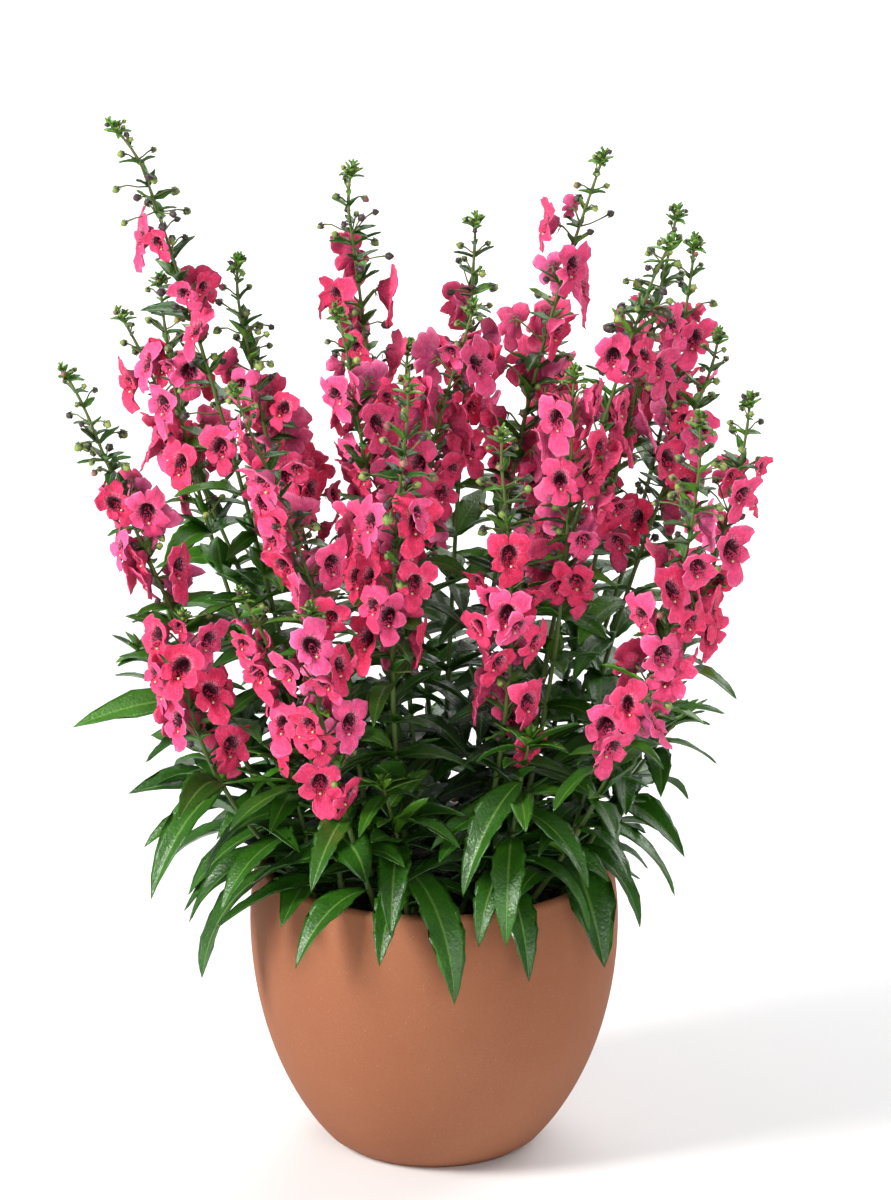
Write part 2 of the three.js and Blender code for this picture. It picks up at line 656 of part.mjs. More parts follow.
function manifoldOf(geometry) {
  geometry.deleteAttribute("normal");
  geometry.deleteAttribute("uv");
  const merged = mergeVertices(geometry, 1e-4);
  return new wasm.Manifold(
    new wasm.Mesh({
      numProp: 3,
      vertProperties: merged.attributes.position.array,
      triVerts: merged.index.array,
    }),
  );
}

// The pot's inner wall, from the soil line down to its floor
const innerRadius = (z) => potRadius(z) - POT_WALL;
const INNER_HEIGHTS = [RIM_HEIGHT - POT_WALL / 2, SOIL_TOP, 100, 45, POT_FLOOR];

function revolve(profile) {
  const lathe = new THREE.LatheGeometry(
    profile.map(([radius, height]) => new THREE.Vector2(radius, height)),
    POT_SIDES,
  );
  return manifoldOf(lathe.rotateX(Math.PI / 2));
}

function makePot() {
  const outside = [0, 5, 20, 42, 72, 110, RIM_HEIGHT - POT_WALL / 2];
  const lip = innerRadius(RIM_HEIGHT) + POT_WALL / 2;
  const profile = [[0, 0], [potRadius(0) - 2, 0]];
  for (const z of outside.slice(1)) profile.push([potRadius(z), z]);
  for (const degrees of [60, 120])
    profile.push([
      lip + (POT_WALL / 2) * Math.cos(radians(degrees)),
      RIM_HEIGHT - POT_WALL / 2 + (POT_WALL / 2) * Math.sin(radians(degrees)),
    ]);
  for (const z of INNER_HEIGHTS) profile.push([innerRadius(z), z]);
  profile.push([0, POT_FLOOR]);
  let pot = revolve(profile);
  for (let k = 0; k < DRAIN_HOLES; k++) {
    const hole = new THREE.CylinderGeometry(DRAIN_RADIUS, DRAIN_RADIUS, POT_FLOOR + 2, 8);
    const place = heading((360 / DRAIN_HOLES) * k + 90, 0).multiplyScalar(DRAIN_OFFSET);
    hole.rotateX(Math.PI / 2).translate(place.x, place.y, POT_FLOOR / 2);
    pot = pot.subtract(manifoldOf(hole));
  }
  return pot;
}

function makeSoil() {
  const fit = GAP + 0.1;
  const profile = [[0, POT_FLOOR + GAP]];
  for (const z of INNER_HEIGHTS.slice(1).toReversed())
    profile.push([innerRadius(z) - fit, z === POT_FLOOR ? POT_FLOOR + GAP : z]);
  profile.push([innerRadius(SOIL_TOP) * 0.62, SOIL_TOP + SOIL_MOUND * 0.7]);
  profile.push([0, SOIL_TOP + SOIL_MOUND]);
  let soil = revolve(profile);
  for (const { row } of shoots) {
    const [x, y] = row.foot;
    const radius = STEM_RADIUS + HOLE_CLEARANCE * Math.SQRT2;
    const bottom = stemRing(vector(x, y, SOIL_TOP - STEM_SUNK - GAP), radius, row.turn);
    const top = stemRing(vector(x, y, SOIL_TOP + SOIL_MOUND + 1), radius, row.turn);
    const shell = makeShell();
    const [low, high] = [shell.add(bottom), shell.add(top)];
    shell.band(low, high);
    shell.faces.push([low[0], low[2], low[1]], [low[0], low[3], low[2]]);
    shell.faces.push([high[0], high[1], high[2]], [high[0], high[2], high[3]]);
    soil = soil.subtract(solid(shell));
  }
  return soil;
}

function makeLeafyStem(shoot) {
  const { stem } = shoot;
  const top = shoot.spikeFoot
    ? stem.start + stem.rise * (1 - shoot.spikeFoot / stem.length) - GAP / 2
    : shoot.row.tip[2];
  return growStem(stem, SOIL_TOP - STEM_SUNK, top, shoot.leaves);
}

function makeSpike(shoot) {
  const { stem } = shoot;
  const foot = stem.start + stem.rise * (1 - shoot.spikeFoot / stem.length) + GAP / 2;
  const sprouts = [...shoot.blooms, ...shoot.bracts, ...shoot.buds];
  return growStem(stem, foot, shoot.row.tip[2], sprouts);
}

// Materials and the scene
const TERRACOTTA = new THREE.MeshStandardMaterial({ color: 0xb5775a, roughness: 0.85, metalness: 0 });
const SOIL = new THREE.MeshStandardMaterial({ color: 0x2a1d15, roughness: 1, metalness: 0 });
const GREEN = new THREE.MeshStandardMaterial({ color: 0x2f6a2a, roughness: 0.5, metalness: 0 });
const PINK = new THREE.MeshStandardMaterial({ color: 0xe23a66, roughness: 0.7, metalness: 0 });

const plant = new THREE.Group();
function addNode(name, points, faces, material) {
  const geometry = new THREE.BufferGeometry();
  geometry.setAttribute("position", new THREE.BufferAttribute(points, 3));
  geometry.setIndex(new THREE.BufferAttribute(faces, 1));
  geometry.computeVertexNormals();
  const mesh = new THREE.Mesh(geometry, material);
  mesh.name = name;
  plant.add(mesh);
}

function addCut(name, made, material) {
  const { vertProperties, triVerts } = made.getMesh();
  addNode(name, vertProperties, triVerts, material);
}

function addGrown(name, { points, faces }, material) {
  const positions = new Float32Array(points.flatMap((point) => [point.x, point.y, point.z]));
  addNode(name, positions, new Uint32Array(faces.flat()), material);
}

addCut("pot", makePot(), TERRACOTTA);
addCut("soil", makeSoil(), SOIL);
for (const shoot of shoots) {
  addGrown("stem-" + shoot.number, makeLeafyStem(shoot), GREEN);
  if (shoot.spikeFoot) addGrown("spike-" + shoot.number, makeSpike(shoot), PINK);
}

export default plant;
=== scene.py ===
"""Potted angelonia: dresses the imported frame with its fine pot, soil, stems, leaves, buds and blooms."""

import functools
import math

import bpy
import numpy as np
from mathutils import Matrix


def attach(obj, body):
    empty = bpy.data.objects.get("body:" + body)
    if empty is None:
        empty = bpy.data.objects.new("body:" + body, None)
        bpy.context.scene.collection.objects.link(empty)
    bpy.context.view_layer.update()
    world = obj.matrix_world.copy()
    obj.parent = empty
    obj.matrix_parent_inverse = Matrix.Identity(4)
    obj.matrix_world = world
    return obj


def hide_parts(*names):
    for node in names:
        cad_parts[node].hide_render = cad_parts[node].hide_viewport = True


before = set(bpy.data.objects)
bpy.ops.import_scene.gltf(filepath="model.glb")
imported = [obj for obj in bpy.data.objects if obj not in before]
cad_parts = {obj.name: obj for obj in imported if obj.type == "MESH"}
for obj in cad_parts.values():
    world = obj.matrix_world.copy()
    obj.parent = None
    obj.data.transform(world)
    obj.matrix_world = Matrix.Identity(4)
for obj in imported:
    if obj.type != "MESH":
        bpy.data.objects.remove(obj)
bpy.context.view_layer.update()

# Lengths are in millimetres and angles in degrees, and MM turns a length into Blender's metres.
MM = 0.001

# The camera stands in front of the plant, a little above it, as in the photograph. The picture
# takes in PICTURE_HEIGHT at the camera's distance.
CAMERA_RISE = 19.25
CAMERA_DISTANCE = 5000
CAMERA_REACH = 50000
PICTURE_HEIGHT = 600
SENSOR = 36
AIM = (5.85, 0, 286.9)


def place_camera():
    """The camera lies on a line that rises by CAMERA_RISE from the aim, towards the front."""
    lens = bpy.data.cameras.new("camera")
    lens.sensor_width = SENSOR
    lens.lens = SENSOR * CAMERA_DISTANCE / PICTURE_HEIGHT
    lens.clip_end = MM * CAMERA_REACH
    camera = bpy.data.objects.new("camera", lens)
    rise = math.radians(CAMERA_RISE)
    back = (0, -math.cos(rise), math.sin(rise))
    camera.location = [MM * (a + CAMERA_DISTANCE * b) for a, b in zip(AIM, back)]
    camera.rotation_euler = (math.pi / 2 - rise, 0, 0)
    bpy.context.scene.collection.objects.link(camera)
    bpy.context.scene.camera = camera


place_camera()

# The sizes down to the leaves over the rim are the same as in the part's own source. First the
# pot and its soil:
RIM_HEIGHT = 151
POT_RADIUS = 93
POT_WIDEST_HEIGHT = 118
POT_CURVE_BELOW = 140
POT_CURVE_ABOVE = 115
POT_WALL = 6.5
POT_FLOOR = 9
DRAIN_HOLES = 3
DRAIN_RADIUS = 5
DRAIN_OFFSET = 25
SOIL_TOP = 133
SOIL_MOUND = 4

# Stems, and how far down from its tip a shoot bears its buds, blooms and leaves
STEM_STRAIGHT = 4
STEM_RADIUS = 2.1
TIP_RADIUS = 0.85
LINE_STEPS = 48
SAMPLE_SPACING = 3.5
FIRST_NODE = 5
BUD_SPACING = 7.5
BLOOM_SPACING = 16.5
LEAF_SPACING = 40
LEAF_CROWDING = 1.2
SPIKE_FOOT = 9
SPROUT_HALF = 1.1
LOWEST_LEAF = 22
LOW_SHOOT_NODES = 7
LOW_SHOOT_FIRST = 8
LOW_SHOOT_LEAF = 10

# Leaves and bracts. Widths are half widths as shares of the length, apart from BROAD, the half
# width in millimetres past which a leaf is tested in more rows. The powers say where along a leaf
# it droops and where it is widest.
LEAF_STEPS = 20
LEAF_WIDTH = 0.135
RIM_LEAF_NARROWER = 0.85
BROAD = 2.5
DROOP_POWER = 0.7
WIDEST_POWER = 0.75
SHORTER_RIGHT = 0.5
LOW_LEAF = 80
HIGH_LEAF = 22
LEAF_FADE = 170
LEAF_RISE = 44
LOW_LEAF_FLATTER = 18
LEAF_DROOP = 44
LOW_LEAF_DROOPIER = 44
LEAF_FOLD = 0.22
BRACT_WIDTH = 0.14
BRACT_RISE = 32
LOW_BRACT_LENGTH = (8, 1.9, 24)
YOUNG_LEAF = 0.35
GROWN_DOWN = 50
SHADE_RADIUS = 50
SHADE_HEIGHT = 60
SHADE_FRONT = 30

# Blooms: places right of, above and in front of the seat, and how a bloom sits on its stalk
NOTCH_TOP = (0, 7, 5)
HALF_BLOOM = (
    (2.6, 14.2, 4),
    (9.2, 12.6, 3.5),
    (7.4, 4.4, 6.5),
    (12.8, 2.2, 7.5),
    (11.6, -6.5, 8),
    (5.0, -6.2, 9),
    (5.6, -15.5, 11),
)
THROAT = (0, 0.5, 3.5)
PEDICEL_LENGTH = 12
PEDICEL_RISE = 38
LIGHT_TURN = 35
LIGHT_SHARE = 0.4

# The two sides of a pair, the turns, reaches, sizes and lifts that a piece tries in turn, and
# how clear it has to stand
PAIR = (0, 180)
TURNS = (0, 20, -20, 36, -36)
STALK_REACHES = (1, 1.25)
LEAF_SIZES = (1, 0.8, 0.62)
LIFTS = {"leaf": (0, 18, -18), "bract": (0, -18)}
CLEAR = 5
CLEAR_OWN = 3
CLEAR_POT = 2.5
BESIDE = 45
BRACT_ASIDE = 37
MEETS_OWN = {"bloom": ("stem",), "bract": ("bloom",), "more": ("stem", "bloom", "bract", "leaf")}

# Flowering shoots: foot on the soil, a place on the way, the tip, the turn of the lowest pair,
# pairs of buds, pairs of blooms and the share of the blooms that are open
FLOWERING = (
    ((-52, 8), (-101, 20, 359), (-152, 20, 531), 20, 6, 8, 0.45),
    ((-46, 30), (-117, 45, 324), (-138, 55, 441), 70, 5, 5, 0.6),
    ((-40, 50), (-127, 75, 345), (-158, 90, 411), 10, 4, 3, 0.8),
    ((-34, 14), (-80, 20, 349), (-102, 30, 458), 35, 6, 5, 0.85),
    ((-30, -40), (-67, -75, 342), (-100, -80, 425), 80, 3, 6, 0.65),
    ((-60, -14), (-137, -25, 306), (-180, -25, 417), 55, 6, 5, 0.6),
    ((-14, 26), (-28, 45, 351), (-46, 50, 500), 0, 5, 8, 0.7),
    ((-17, -6), (-31, -20, 342), (-47, -15, 445), 40, 4, 7, 0.8),
    ((4, 40), (14, 60, 356), (22, 75, 467), 15, 5, 5, 0.65),
    ((2, 8), (-4, 10, 347), (22, 15, 438), 60, 3, 6, 0.9),
    ((22, 16), (43, 30, 361), (86, 40, 510), 5, 4, 9, 0.65),
    ((34, -12), (66, -30, 329), (68, -25, 416), 50, 2, 6, 0.9),
    ((-10, -40), (-20, -70, 311), (-10, -75, 428), 85, 7, 5, 1),
    ((14, -42), (38, -65, 288), (30, -70, 400), 75, 6, 7, 0.85),
    ((44, 30), (98, 50, 365), (123, 65, 472), 30, 6, 5, 0.7),
    ((44, 4), (82, 5, 370), (117, 0, 478), 65, 6, 7, 0.75),
    ((44, 56), (116, 90, 351), (133, 110, 444), 25, 5, 4, 0.9),
    ((60, 14), (113, 25, 331), (147, 30, 419), 45, 5, 4, 0.95),
    ((64, -12), (130, -20, 283), (158, -20, 402), 10, 5, 6, 0.95),
    ((46, -40), (103, -75, 260), (132, -75, 410), 60, 6, 8, 0.88),
    ((-26, -60), (-48, -90, 223), (-64, -110, 324), 90, 2, 6, 0.95),
    ((-44, -52), (-67, -70, 248), (-95, -85, 323), 45, 3, 5, 0.9),
    ((-56, -26), (-110, -45, 214), (-122, -50, 298), 75, 1, 5, 0.95),
    ((-24, 60), (-60, 105, 255), (-80, 125, 355), 40, 3, 4, 0.7),
    ((6, 64), (-10, 115, 270), (-15, 140, 378), 70, 3, 5, 0.65),
    ((28, 58), (50, 110, 295), (62, 135, 405), 20, 4, 5, 0.65),
)

# Leafy shoots without flowers: foot, a place on the way, the tip and the turn of the lowest pair
LEAFY = (
    ((-13, -62), (-17, -67, 178), (-26, -76, 218), 20),
    ((-60, -42), (-64, -46, 178), (-76, -54, 224), 15),
    ((34, -58), (38, -62, 178), (48, -70, 240), 0),
    ((64, -34), (70, -38, 178), (86, -48, 230), 80),
    ((72, 2), (92, 4, 178), (126, 4, 226), 10),
    ((-70, 8), (-104, 8, 200), (-148, 8, 258), 55),
)

# Leaves over the rim, given one by one: shoot, node up from its foot, turn, length, rise, droop, sweep
RIM_LEAVES = (
    (27, 2, -62, 88, 22, 112, 0),
    (27, 1, -104, 64, 24, 108, 0),
    (27, 3, -94, 66, 10, 95, 0),
    (22, 0, 204, 72, 18, 52, 0),
    (21, 0, 222, 62, 20, 86, 0),
    (27, 2, -18, 76, 16, 52, -6),
    (27, 4, 178, 50, 6, 36, 0),
    (27, 4, -40, 46, 30, 60, 0),
    (27, 5, -110, 40, 10, 40, 0),
    (28, 2, 196, 78, 22, 108, 0),
    (28, 3, 226, 72, 20, 100, 0),
    (28, 4, 178, 66, 20, 112, 0),
    (29, 1, -95, 64, 26, 108, 0),
    (29, 2, 214, 58, 22, 96, 0),
    (29, 3, 246, 66, 12, 98, 0),
    (29, 2, -36, 62, 34, 118, -14),
    (29, 5, 232, 70, -10, 60, 0),
    (29, 4, -40, 60, 14, 80, 0),
    (30, 4, 243, 84, 4, 62, 0),
    (30, 3, -10, 68, 26, 100, 0),
    (30, 2, -36, 62, 30, 112, 0),
)

# The sequence of draws is the same as in the part's own source: each state is the one before times
# a factor, plus a step, within a range.
DRAW_FACTOR = 1664525
DRAW_STEP = 1013904223
DRAW_RANGE = 2**32
draw_state = 20417


def draw(low, high):
    """One number between low and high, from a sequence that is the same in every run."""
    global draw_state
    draw_state = (draw_state * DRAW_FACTOR + DRAW_STEP) % DRAW_RANGE
    return low + (high - low) * draw_state / DRAW_RANGE


def heading(turn, rise):
    """Unit direction: cos(rise) times (cos(turn), sin(turn)) along the ground and sin(rise) upwards."""
    turn, rise = np.radians(turn), np.radians(rise)
    level = np.cos(rise)
    parts = np.broadcast_arrays(level * np.cos(turn), level * np.sin(turn), np.sin(rise))
    return np.stack(parts, axis=-1)


def turn_between(start, end):
    """How far to turn from one compass turn to another, between -180 and 180."""
    return (((end - start) % 360) + 540) % 360 - 180


def turn_of(vector):
    """The compass turn that a vector points to."""
    return math.degrees(math.atan2(vector[1], vector[0]))


def unit(vectors):
    """The vectors divided by their lengths."""
    return vectors / np.maximum(np.linalg.norm(vectors, axis=-1, keepdims=True), 1e-9)


def pot_radius(z):
    """Outer radius of the pot at a height: an ellipse that is taller below its widest place."""
    z = np.asarray(z, float)
    reach = np.where(z < POT_WIDEST_HEIGHT, POT_CURVE_BELOW, POT_CURVE_ABOVE)
    return POT_RADIUS * np.sqrt(1 - ((z - POT_WIDEST_HEIGHT) / reach) ** 2)


def stem_at(stem, t):
    """Point of a stem at a share t of its height: x and y are the quadratics in t that pass
    through the foot, the place on the way and the tip, and the stem is upright below t = 0."""
    t = np.asarray(t, float)
    up = np.maximum(t, 0)
    mid = stem["mid"]
    at_foot = (up - mid) * (up - 1) / mid
    at_way = up * (up - 1) / (mid * (mid - 1))
    at_tip = up * (up - mid) / (1 - mid)
    x, y = (
        stem["foot"][a] * at_foot + stem["way"][a] * at_way + stem["tip"][a] * at_tip
        for a in (0, 1)
    )
    return np.stack(np.broadcast_arrays(x, y, stem["start"] + stem["rise"] * t), axis=-1)


def make_stem(foot, way, tip, turn):
    """A stem's named values, with its length measured in LINE_STEPS straight steps."""
    start = SOIL_TOP + STEM_STRAIGHT
    rise = tip[2] - start
    stem = {"foot": foot, "way": way, "tip": tip, "turn": turn, "start": start, "rise": rise}
    stem["mid"] = (way[2] - start) / rise
    line = stem_at(stem, np.arange(LINE_STEPS + 1) / LINE_STEPS)
    stem["length"] = float(np.linalg.norm(np.diff(line, axis=0), axis=1).sum())
    return stem


def stem_radius(t):
    """Radius of a stem: it tapers evenly from its foot to its tip."""
    return STEM_RADIUS + (TIP_RADIUS - STEM_RADIUS) * np.maximum(t, 0)


def face_towards(stem, turn):
    """The one of a stem's four faces that looks most nearly towards a turn."""
    return (math.floor((turn - stem["turn"]) / 90 + 0.5) - 1) % 4


def make_nodes(stem, buds, blooms):
    """Nodes down from the tip: how far down each is, what it bears and its turn."""
    nodes = []
    down = FIRST_NODE
    turn = stem["turn"]
    for k in range(buds + blooms):
        nodes.append({"down": down, "turn": turn, "bears": "bud" if k < buds else "bloom", "rank": k})
        down += BUD_SPACING + k if k < buds - 1 else BLOOM_SPACING
        turn += 90
    foot = down - BLOOM_SPACING + SPIKE_FOOT if blooms else 0
    leaf_top = foot + SPIKE_FOOT if blooms else LOW_SHOOT_FIRST
    leaf_end = stem["length"] - (LOWEST_LEAF if blooms else LOW_SHOOT_LEAF)
    spacing = LEAF_SPACING if blooms else stem["length"] / LOW_SHOOT_NODES
    count = max(2, math.floor((leaf_end - leaf_top) / spacing + 0.5) + 1)
    for k in range(count):
        share = 1 - (1 - k / (count - 1)) ** LEAF_CROWDING
        nodes.append({"down": leaf_top + (leaf_end - leaf_top) * share, "turn": turn, "bears": "leaf"})
        turn += 90
    return nodes, foot


def leaf_way(leaf, s):
    """The direction of a leaf's midrib at shares s of its length: the turn has swung by the sweep
    times the share, and the rise has fallen by the droop times a power of the share."""
    return heading(leaf["turn"] + leaf["sweep"] * s, leaf["rise"] - leaf["droop"] * s**DROOP_POWER)


def leaf_line(leaf):
    """A leaf's midrib: equal steps, each along the direction at its middle."""
    s = (np.arange(LEAF_STEPS) + 0.5) / LEAF_STEPS
    steps = np.cumsum(leaf_way(leaf, s) * (leaf["length"] / LEAF_STEPS), axis=0)
    return leaf["root"] + np.vstack([np.zeros(3), steps])


def leaf_across(leaf, s):
    """The directions to a leaf's side and up from its face, at shares s of its length: the level
    side and the upright one, turned about the midrib by the leaf's roll."""
    along = leaf_way(leaf, s)
    flat = heading(leaf["turn"] + leaf["sweep"] * s + 90, 0)
    roll = math.radians(leaf["roll"])
    side = flat * math.cos(roll) + np.cross(along, flat) * math.sin(roll)
    return side, np.cross(along, side)


def leaf_samples(leaf):
    """Points spread over a leaf, to test its clearance with: its midrib, its two margins, and
    where it is broad a row halfway to each."""
    line = leaf_line(leaf)
    k = np.arange(2, LEAF_STEPS + 1)
    s = k / LEAF_STEPS
    width = leaf["width"] * np.sin(math.pi * s**WIDEST_POWER)
    side = leaf_across(leaf, s)[0] * width[:, None]
    rows = [line[k] + share * side for share in (-1, 0, 1)]
    broad = width > BROAD
    rows += [(line[k] + share * side)[broad] for share in (-0.5, 0.5)]
    return np.vstack(rows)


def bloom_axes(bloom):
    """The three directions of a bloom that faces a turn and a rise: right, up and forward."""
    forward = heading(bloom["turn"], bloom["rise"])
    level = heading(bloom["turn"] + 90, 0)
    roll = math.radians(bloom["roll"])
    right = level * math.cos(roll) + np.cross(forward, level) * math.sin(roll)
    return np.stack([right, np.cross(forward, right), forward])


def bloom_samples(bloom):
    """Points spread over a bloom's outline, face, back and stalk, to test its clearance with."""
    left = [(-right, up, forward) for right, up, forward in HALF_BLOOM]
    outline = np.array([NOTCH_TOP, *left, *HALF_BLOOM[::-1]], float)
    axes = bloom_axes(bloom)
    outline = bloom["seat"] + bloom["size"] * outline @ axes
    throat = bloom["seat"] + bloom["size"] * np.array(THROAT, float) @ axes
    middle = (outline + np.roll(outline, -1, axis=0)) / 2
    single = [throat, bloom["seat"], (bloom["root"] + bloom["seat"]) / 2]
    return np.vstack([single, outline, middle, (outline + throat) / 2, (outline + bloom["seat"]) / 2])


# All pieces that stand so far, each with the middle and the radius of a sphere round it
MOST_PIECES = 4000
standing = []
middles = np.zeros((MOST_PIECES, 3))
extents = np.zeros(MOST_PIECES)


def stand(owner, points, kind):
    """Notes a piece that now stands, with a sphere round its points."""
    middles[len(standing)] = points.mean(axis=0)
    extents[len(standing)] = np.linalg.norm(points - points.mean(axis=0), axis=1).max()
    standing.append((owner, kind, points))


def is_clear(owner, points, kind, least=None):
    """Whether points keep clear of the pot, of the soil and of what stands: by CLEAR of another
    owner's pieces, and by CLEAR_OWN of its own owner's pieces of its kind and of the kinds in
    MEETS_OWN. A least distance, where one is given, takes the place of both."""
    out = np.hypot(points[:, 0], points[:, 1])
    z = points[:, 2]
    wall = pot_radius(np.clip(z, 0, RIM_HEIGHT))
    near = out < wall + CLEAR_POT
    if np.any(near & (z < SOIL_TOP + SOIL_MOUND + CLEAR_POT)):
        return False
    if np.any(near & (out > wall - POT_WALL - CLEAR_POT) & (z < RIM_HEIGHT + CLEAR_POT)):
        return False
    centre = points.mean(axis=0)
    reach = np.linalg.norm(points - centre, axis=1).max()
    count = len(standing)
    apart = np.linalg.norm(middles[:count] - centre, axis=1) - extents[:count] - reach
    for k in np.nonzero(apart <= CLEAR)[0]:
        other, other_kind, theirs = standing[k]
        own = other == owner
        if own and other_kind != kind and other_kind not in MEETS_OWN.get(kind, ()):
            continue
        gap = least or (CLEAR_OWN if own else CLEAR)
        between = points[:, None, :] - theirs[None, :, :]
        if np.einsum("ijk,ijk->ij", between, between).min() < gap * gap:
            return False
    return True


def try_place(owner, kind, tries, samples_of, least=None):
    """The first of the tries that stands clear, which now stands, or None."""
    for piece in tries:
        points = samples_of(piece)
        if is_clear(owner, points, kind, least):
            stand(owner, points, kind)
            return piece
    return None


def owner_at(shoot, down):
    """The spike or the leafy stem of a shoot, whichever reaches this far down from the tip."""
    return ("spike-" if down < shoot["spike_foot"] else "stem-") + shoot["number"]


def node_root(shoot, down):
    """The point on a shoot's stem that lies this far down from its tip."""
    return stem_at(shoot["stem"], 1 - down / shoot["stem"]["length"])


def lean_outwards(facing, root):
    """How far a bloom turns aside from its stalk to face out of the plant: a share of the way,
    and LIGHT_TURN at most."""
    lean = turn_between(facing, turn_of(root)) * LIGHT_SHARE
    return max(-LIGHT_TURN, min(LIGHT_TURN, lean))


def place_bloom(shoot, node, turn):
    """Places one bloom of a pair at the first turn and reach that stands clear. Where the draw
    leaves it out, or nothing stands clear, the place is noted as bare."""
    present = draw(0, 1) < shoot["open"]
    jitter = draw(-10, 10)
    rise = draw(-8, 8)
    roll = draw(-10, 10)
    size = draw(0.84, 1)
    face = face_towards(shoot["stem"], turn)
    root = node_root(shoot, node["down"])
    bare = {"down": node["down"], "face": face, "root": root, "turn": turn + jitter}
    if not present:
        shoot["bare"].append(bare)
        return
    tries = []
    for reach in STALK_REACHES:
        for off in TURNS:
            facing = turn + jitter + off
            seat = root + heading(facing, PEDICEL_RISE) * PEDICEL_LENGTH * reach
            own = {"seat": seat, "turn": facing + lean_outwards(facing, root)}
            tries.append({**bare, **own, "rise": rise, "roll": roll, "size": size})
    bloom = try_place("spike-" + shoot["number"], "bloom", tries, bloom_samples)
    if bloom:
        shoot["blooms"].append(bloom)
    else:
        shoot["bare"].append(bare)


def place_leaf(shoot, down, turn, kind, wish):
    """Places a leaf or bract at the first size, lift and turn that stands clear, unless its face
    of the stem bears one already. It keeps away from its neighbours round the stem."""
    face = face_towards(shoot["stem"], turn)
    besides = [leaf for leaf in shoot["leaves"] if leaf["down"] == down]
    if any(leaf["face"] == face for leaf in besides):
        return
    out = shoot["stem"]["turn"] + 90 * (face + 1)
    tries = []
    for size in LEAF_SIZES:
        for lift in LIFTS[kind]:
            for off in TURNS:
                if any(abs(turn_between(leaf["turn"], turn + off)) < BESIDE for leaf in besides):
                    continue
                if kind == "bract" and abs(turn_between(out, turn + off)) > BRACT_ASIDE:
                    continue
                leaf = {**wish, "down": down, "face": face, "root": node_root(shoot, down)}
                leaf["turn"] = turn + off
                leaf["rise"] = wish["rise"] + lift
                leaf["length"] = wish["length"] * size
                leaf["width"] = wish["width"] * size
                tries.append(leaf)
    leaf = try_place(owner_at(shoot, down), kind, tries, leaf_samples)
    if leaf:
        shoot["leaves" if kind == "leaf" else "bracts"].append(leaf)


def make_shoots():
    """The whole arrangement, in the same order of draws as the solids: stems, the leaves over the
    rim, blooms, leaves, and the bracts of the lowest blooms."""
    shoots = []
    for i, (foot, way, tip, turn, *spike) in enumerate([*FLOWERING, *LEAFY]):
        stem = make_stem(foot, way, tip, turn)
        buds, blooms, share = spike or (0, 0, 0)
        nodes, spike_foot = make_nodes(stem, buds, blooms)
        shoot = {"stem": stem, "nodes": nodes, "spike_foot": spike_foot, "number": f"{i + 1:02d}"}
        shoot.update({"open": share, "bud_pairs": buds, "bloom_pairs": blooms})
        shoot.update({"blooms": [], "bare": [], "leaves": [], "bracts": []})
        shoot.update({"more_blooms": [], "more_leaves": []})
        shoots.append(shoot)
    for shoot in shoots:
        steps = math.floor(shoot["stem"]["length"] / SAMPLE_SPACING + 0.5)
        downs = [shoot["stem"]["length"] * k / steps for k in range(steps + 1)]
        for owner in ("stem-", "spike-"):
            owner += shoot["number"]
            points = [node_root(shoot, down) for down in downs if owner_at(shoot, down) == owner]
            if points:
                stand(owner, np.array(points), "stem")
    for number, up, turn, length, rise, droop, sweep in RIM_LEAVES:
        shoot = shoots[number - 1]
        wish = {"length": length, "rise": rise, "droop": droop, "sweep": sweep, "roll": 0}
        wish["width"] = length * LEAF_WIDTH * RIM_LEAF_NARROWER
        place_leaf(shoot, shoot["nodes"][-1 - up]["down"], turn, "leaf", wish)
    for shoot in shoots:
        for node in shoot["nodes"]:
            if node["bears"] == "bloom":
                for half in PAIR:
                    place_bloom(shoot, node, node["turn"] + half)
    for shoot in shoots:
        for node in shoot["nodes"]:
            if node["bears"] == "leaf":
                for half in PAIR:
                    place_stem_leaf(shoot, node, half)
    for shoot in shoots:
        last = shoot["bud_pairs"] + shoot["bloom_pairs"] - 1
        for node in shoot["nodes"]:
            if node["bears"] == "bloom" and node["rank"] == last:
                for half in PAIR:
                    place_low_bract(shoot, node, half)
    return shoots


def full_length(low, turn):
    """The length of a grown leaf: LOW_LEAF at the soil, where low is 1, towards HIGH_LEAF higher
    up, and shorter where it points to the right."""
    right = max(0, math.cos(math.radians(turn)))
    return (HIGH_LEAF + (LOW_LEAF - HIGH_LEAF) * low) * (1 - SHORTER_RIGHT * right * low)


def place_stem_leaf(shoot, node, half):
    """A leaf of a pair: long near the soil, shorter with height, and young near a leafy tip. The
    shaded middle of the plant has none near the soil."""
    height = shoot["stem"]["length"] - node["down"]
    x, y, _ = node_root(shoot, node["down"])
    if height < SHADE_HEIGHT and y > -SHADE_FRONT and math.hypot(x, y) < SHADE_RADIUS:
        return
    low = math.exp(-height / LEAF_FADE)
    age = min(1, YOUNG_LEAF + node["down"] / GROWN_DOWN)
    length = full_length(low, node["turn"] + half) * age * draw(0.9, 1.1)
    turn = node["turn"] + half + draw(-12, 12)
    wish = {"length": length, "width": length * LEAF_WIDTH * draw(0.85, 1.05)}
    wish["rise"] = LEAF_RISE - LOW_LEAF_FLATTER * low + draw(-10, 10)
    wish["droop"] = LEAF_DROOP + LOW_LEAF_DROOPIER * low + draw(-12, 12)
    wish["sweep"] = draw(-18, 18)
    wish["roll"] = draw(-20, 20)
    place_leaf(shoot, node["down"], turn, "leaf", wish)


def grown(rank, first, each, most=math.inf):
    """A value for a rank that is counted down from the tip: it is first at rank 0, changes by each
    from rank to rank, and never passes most."""
    return min(most, first + each * rank)


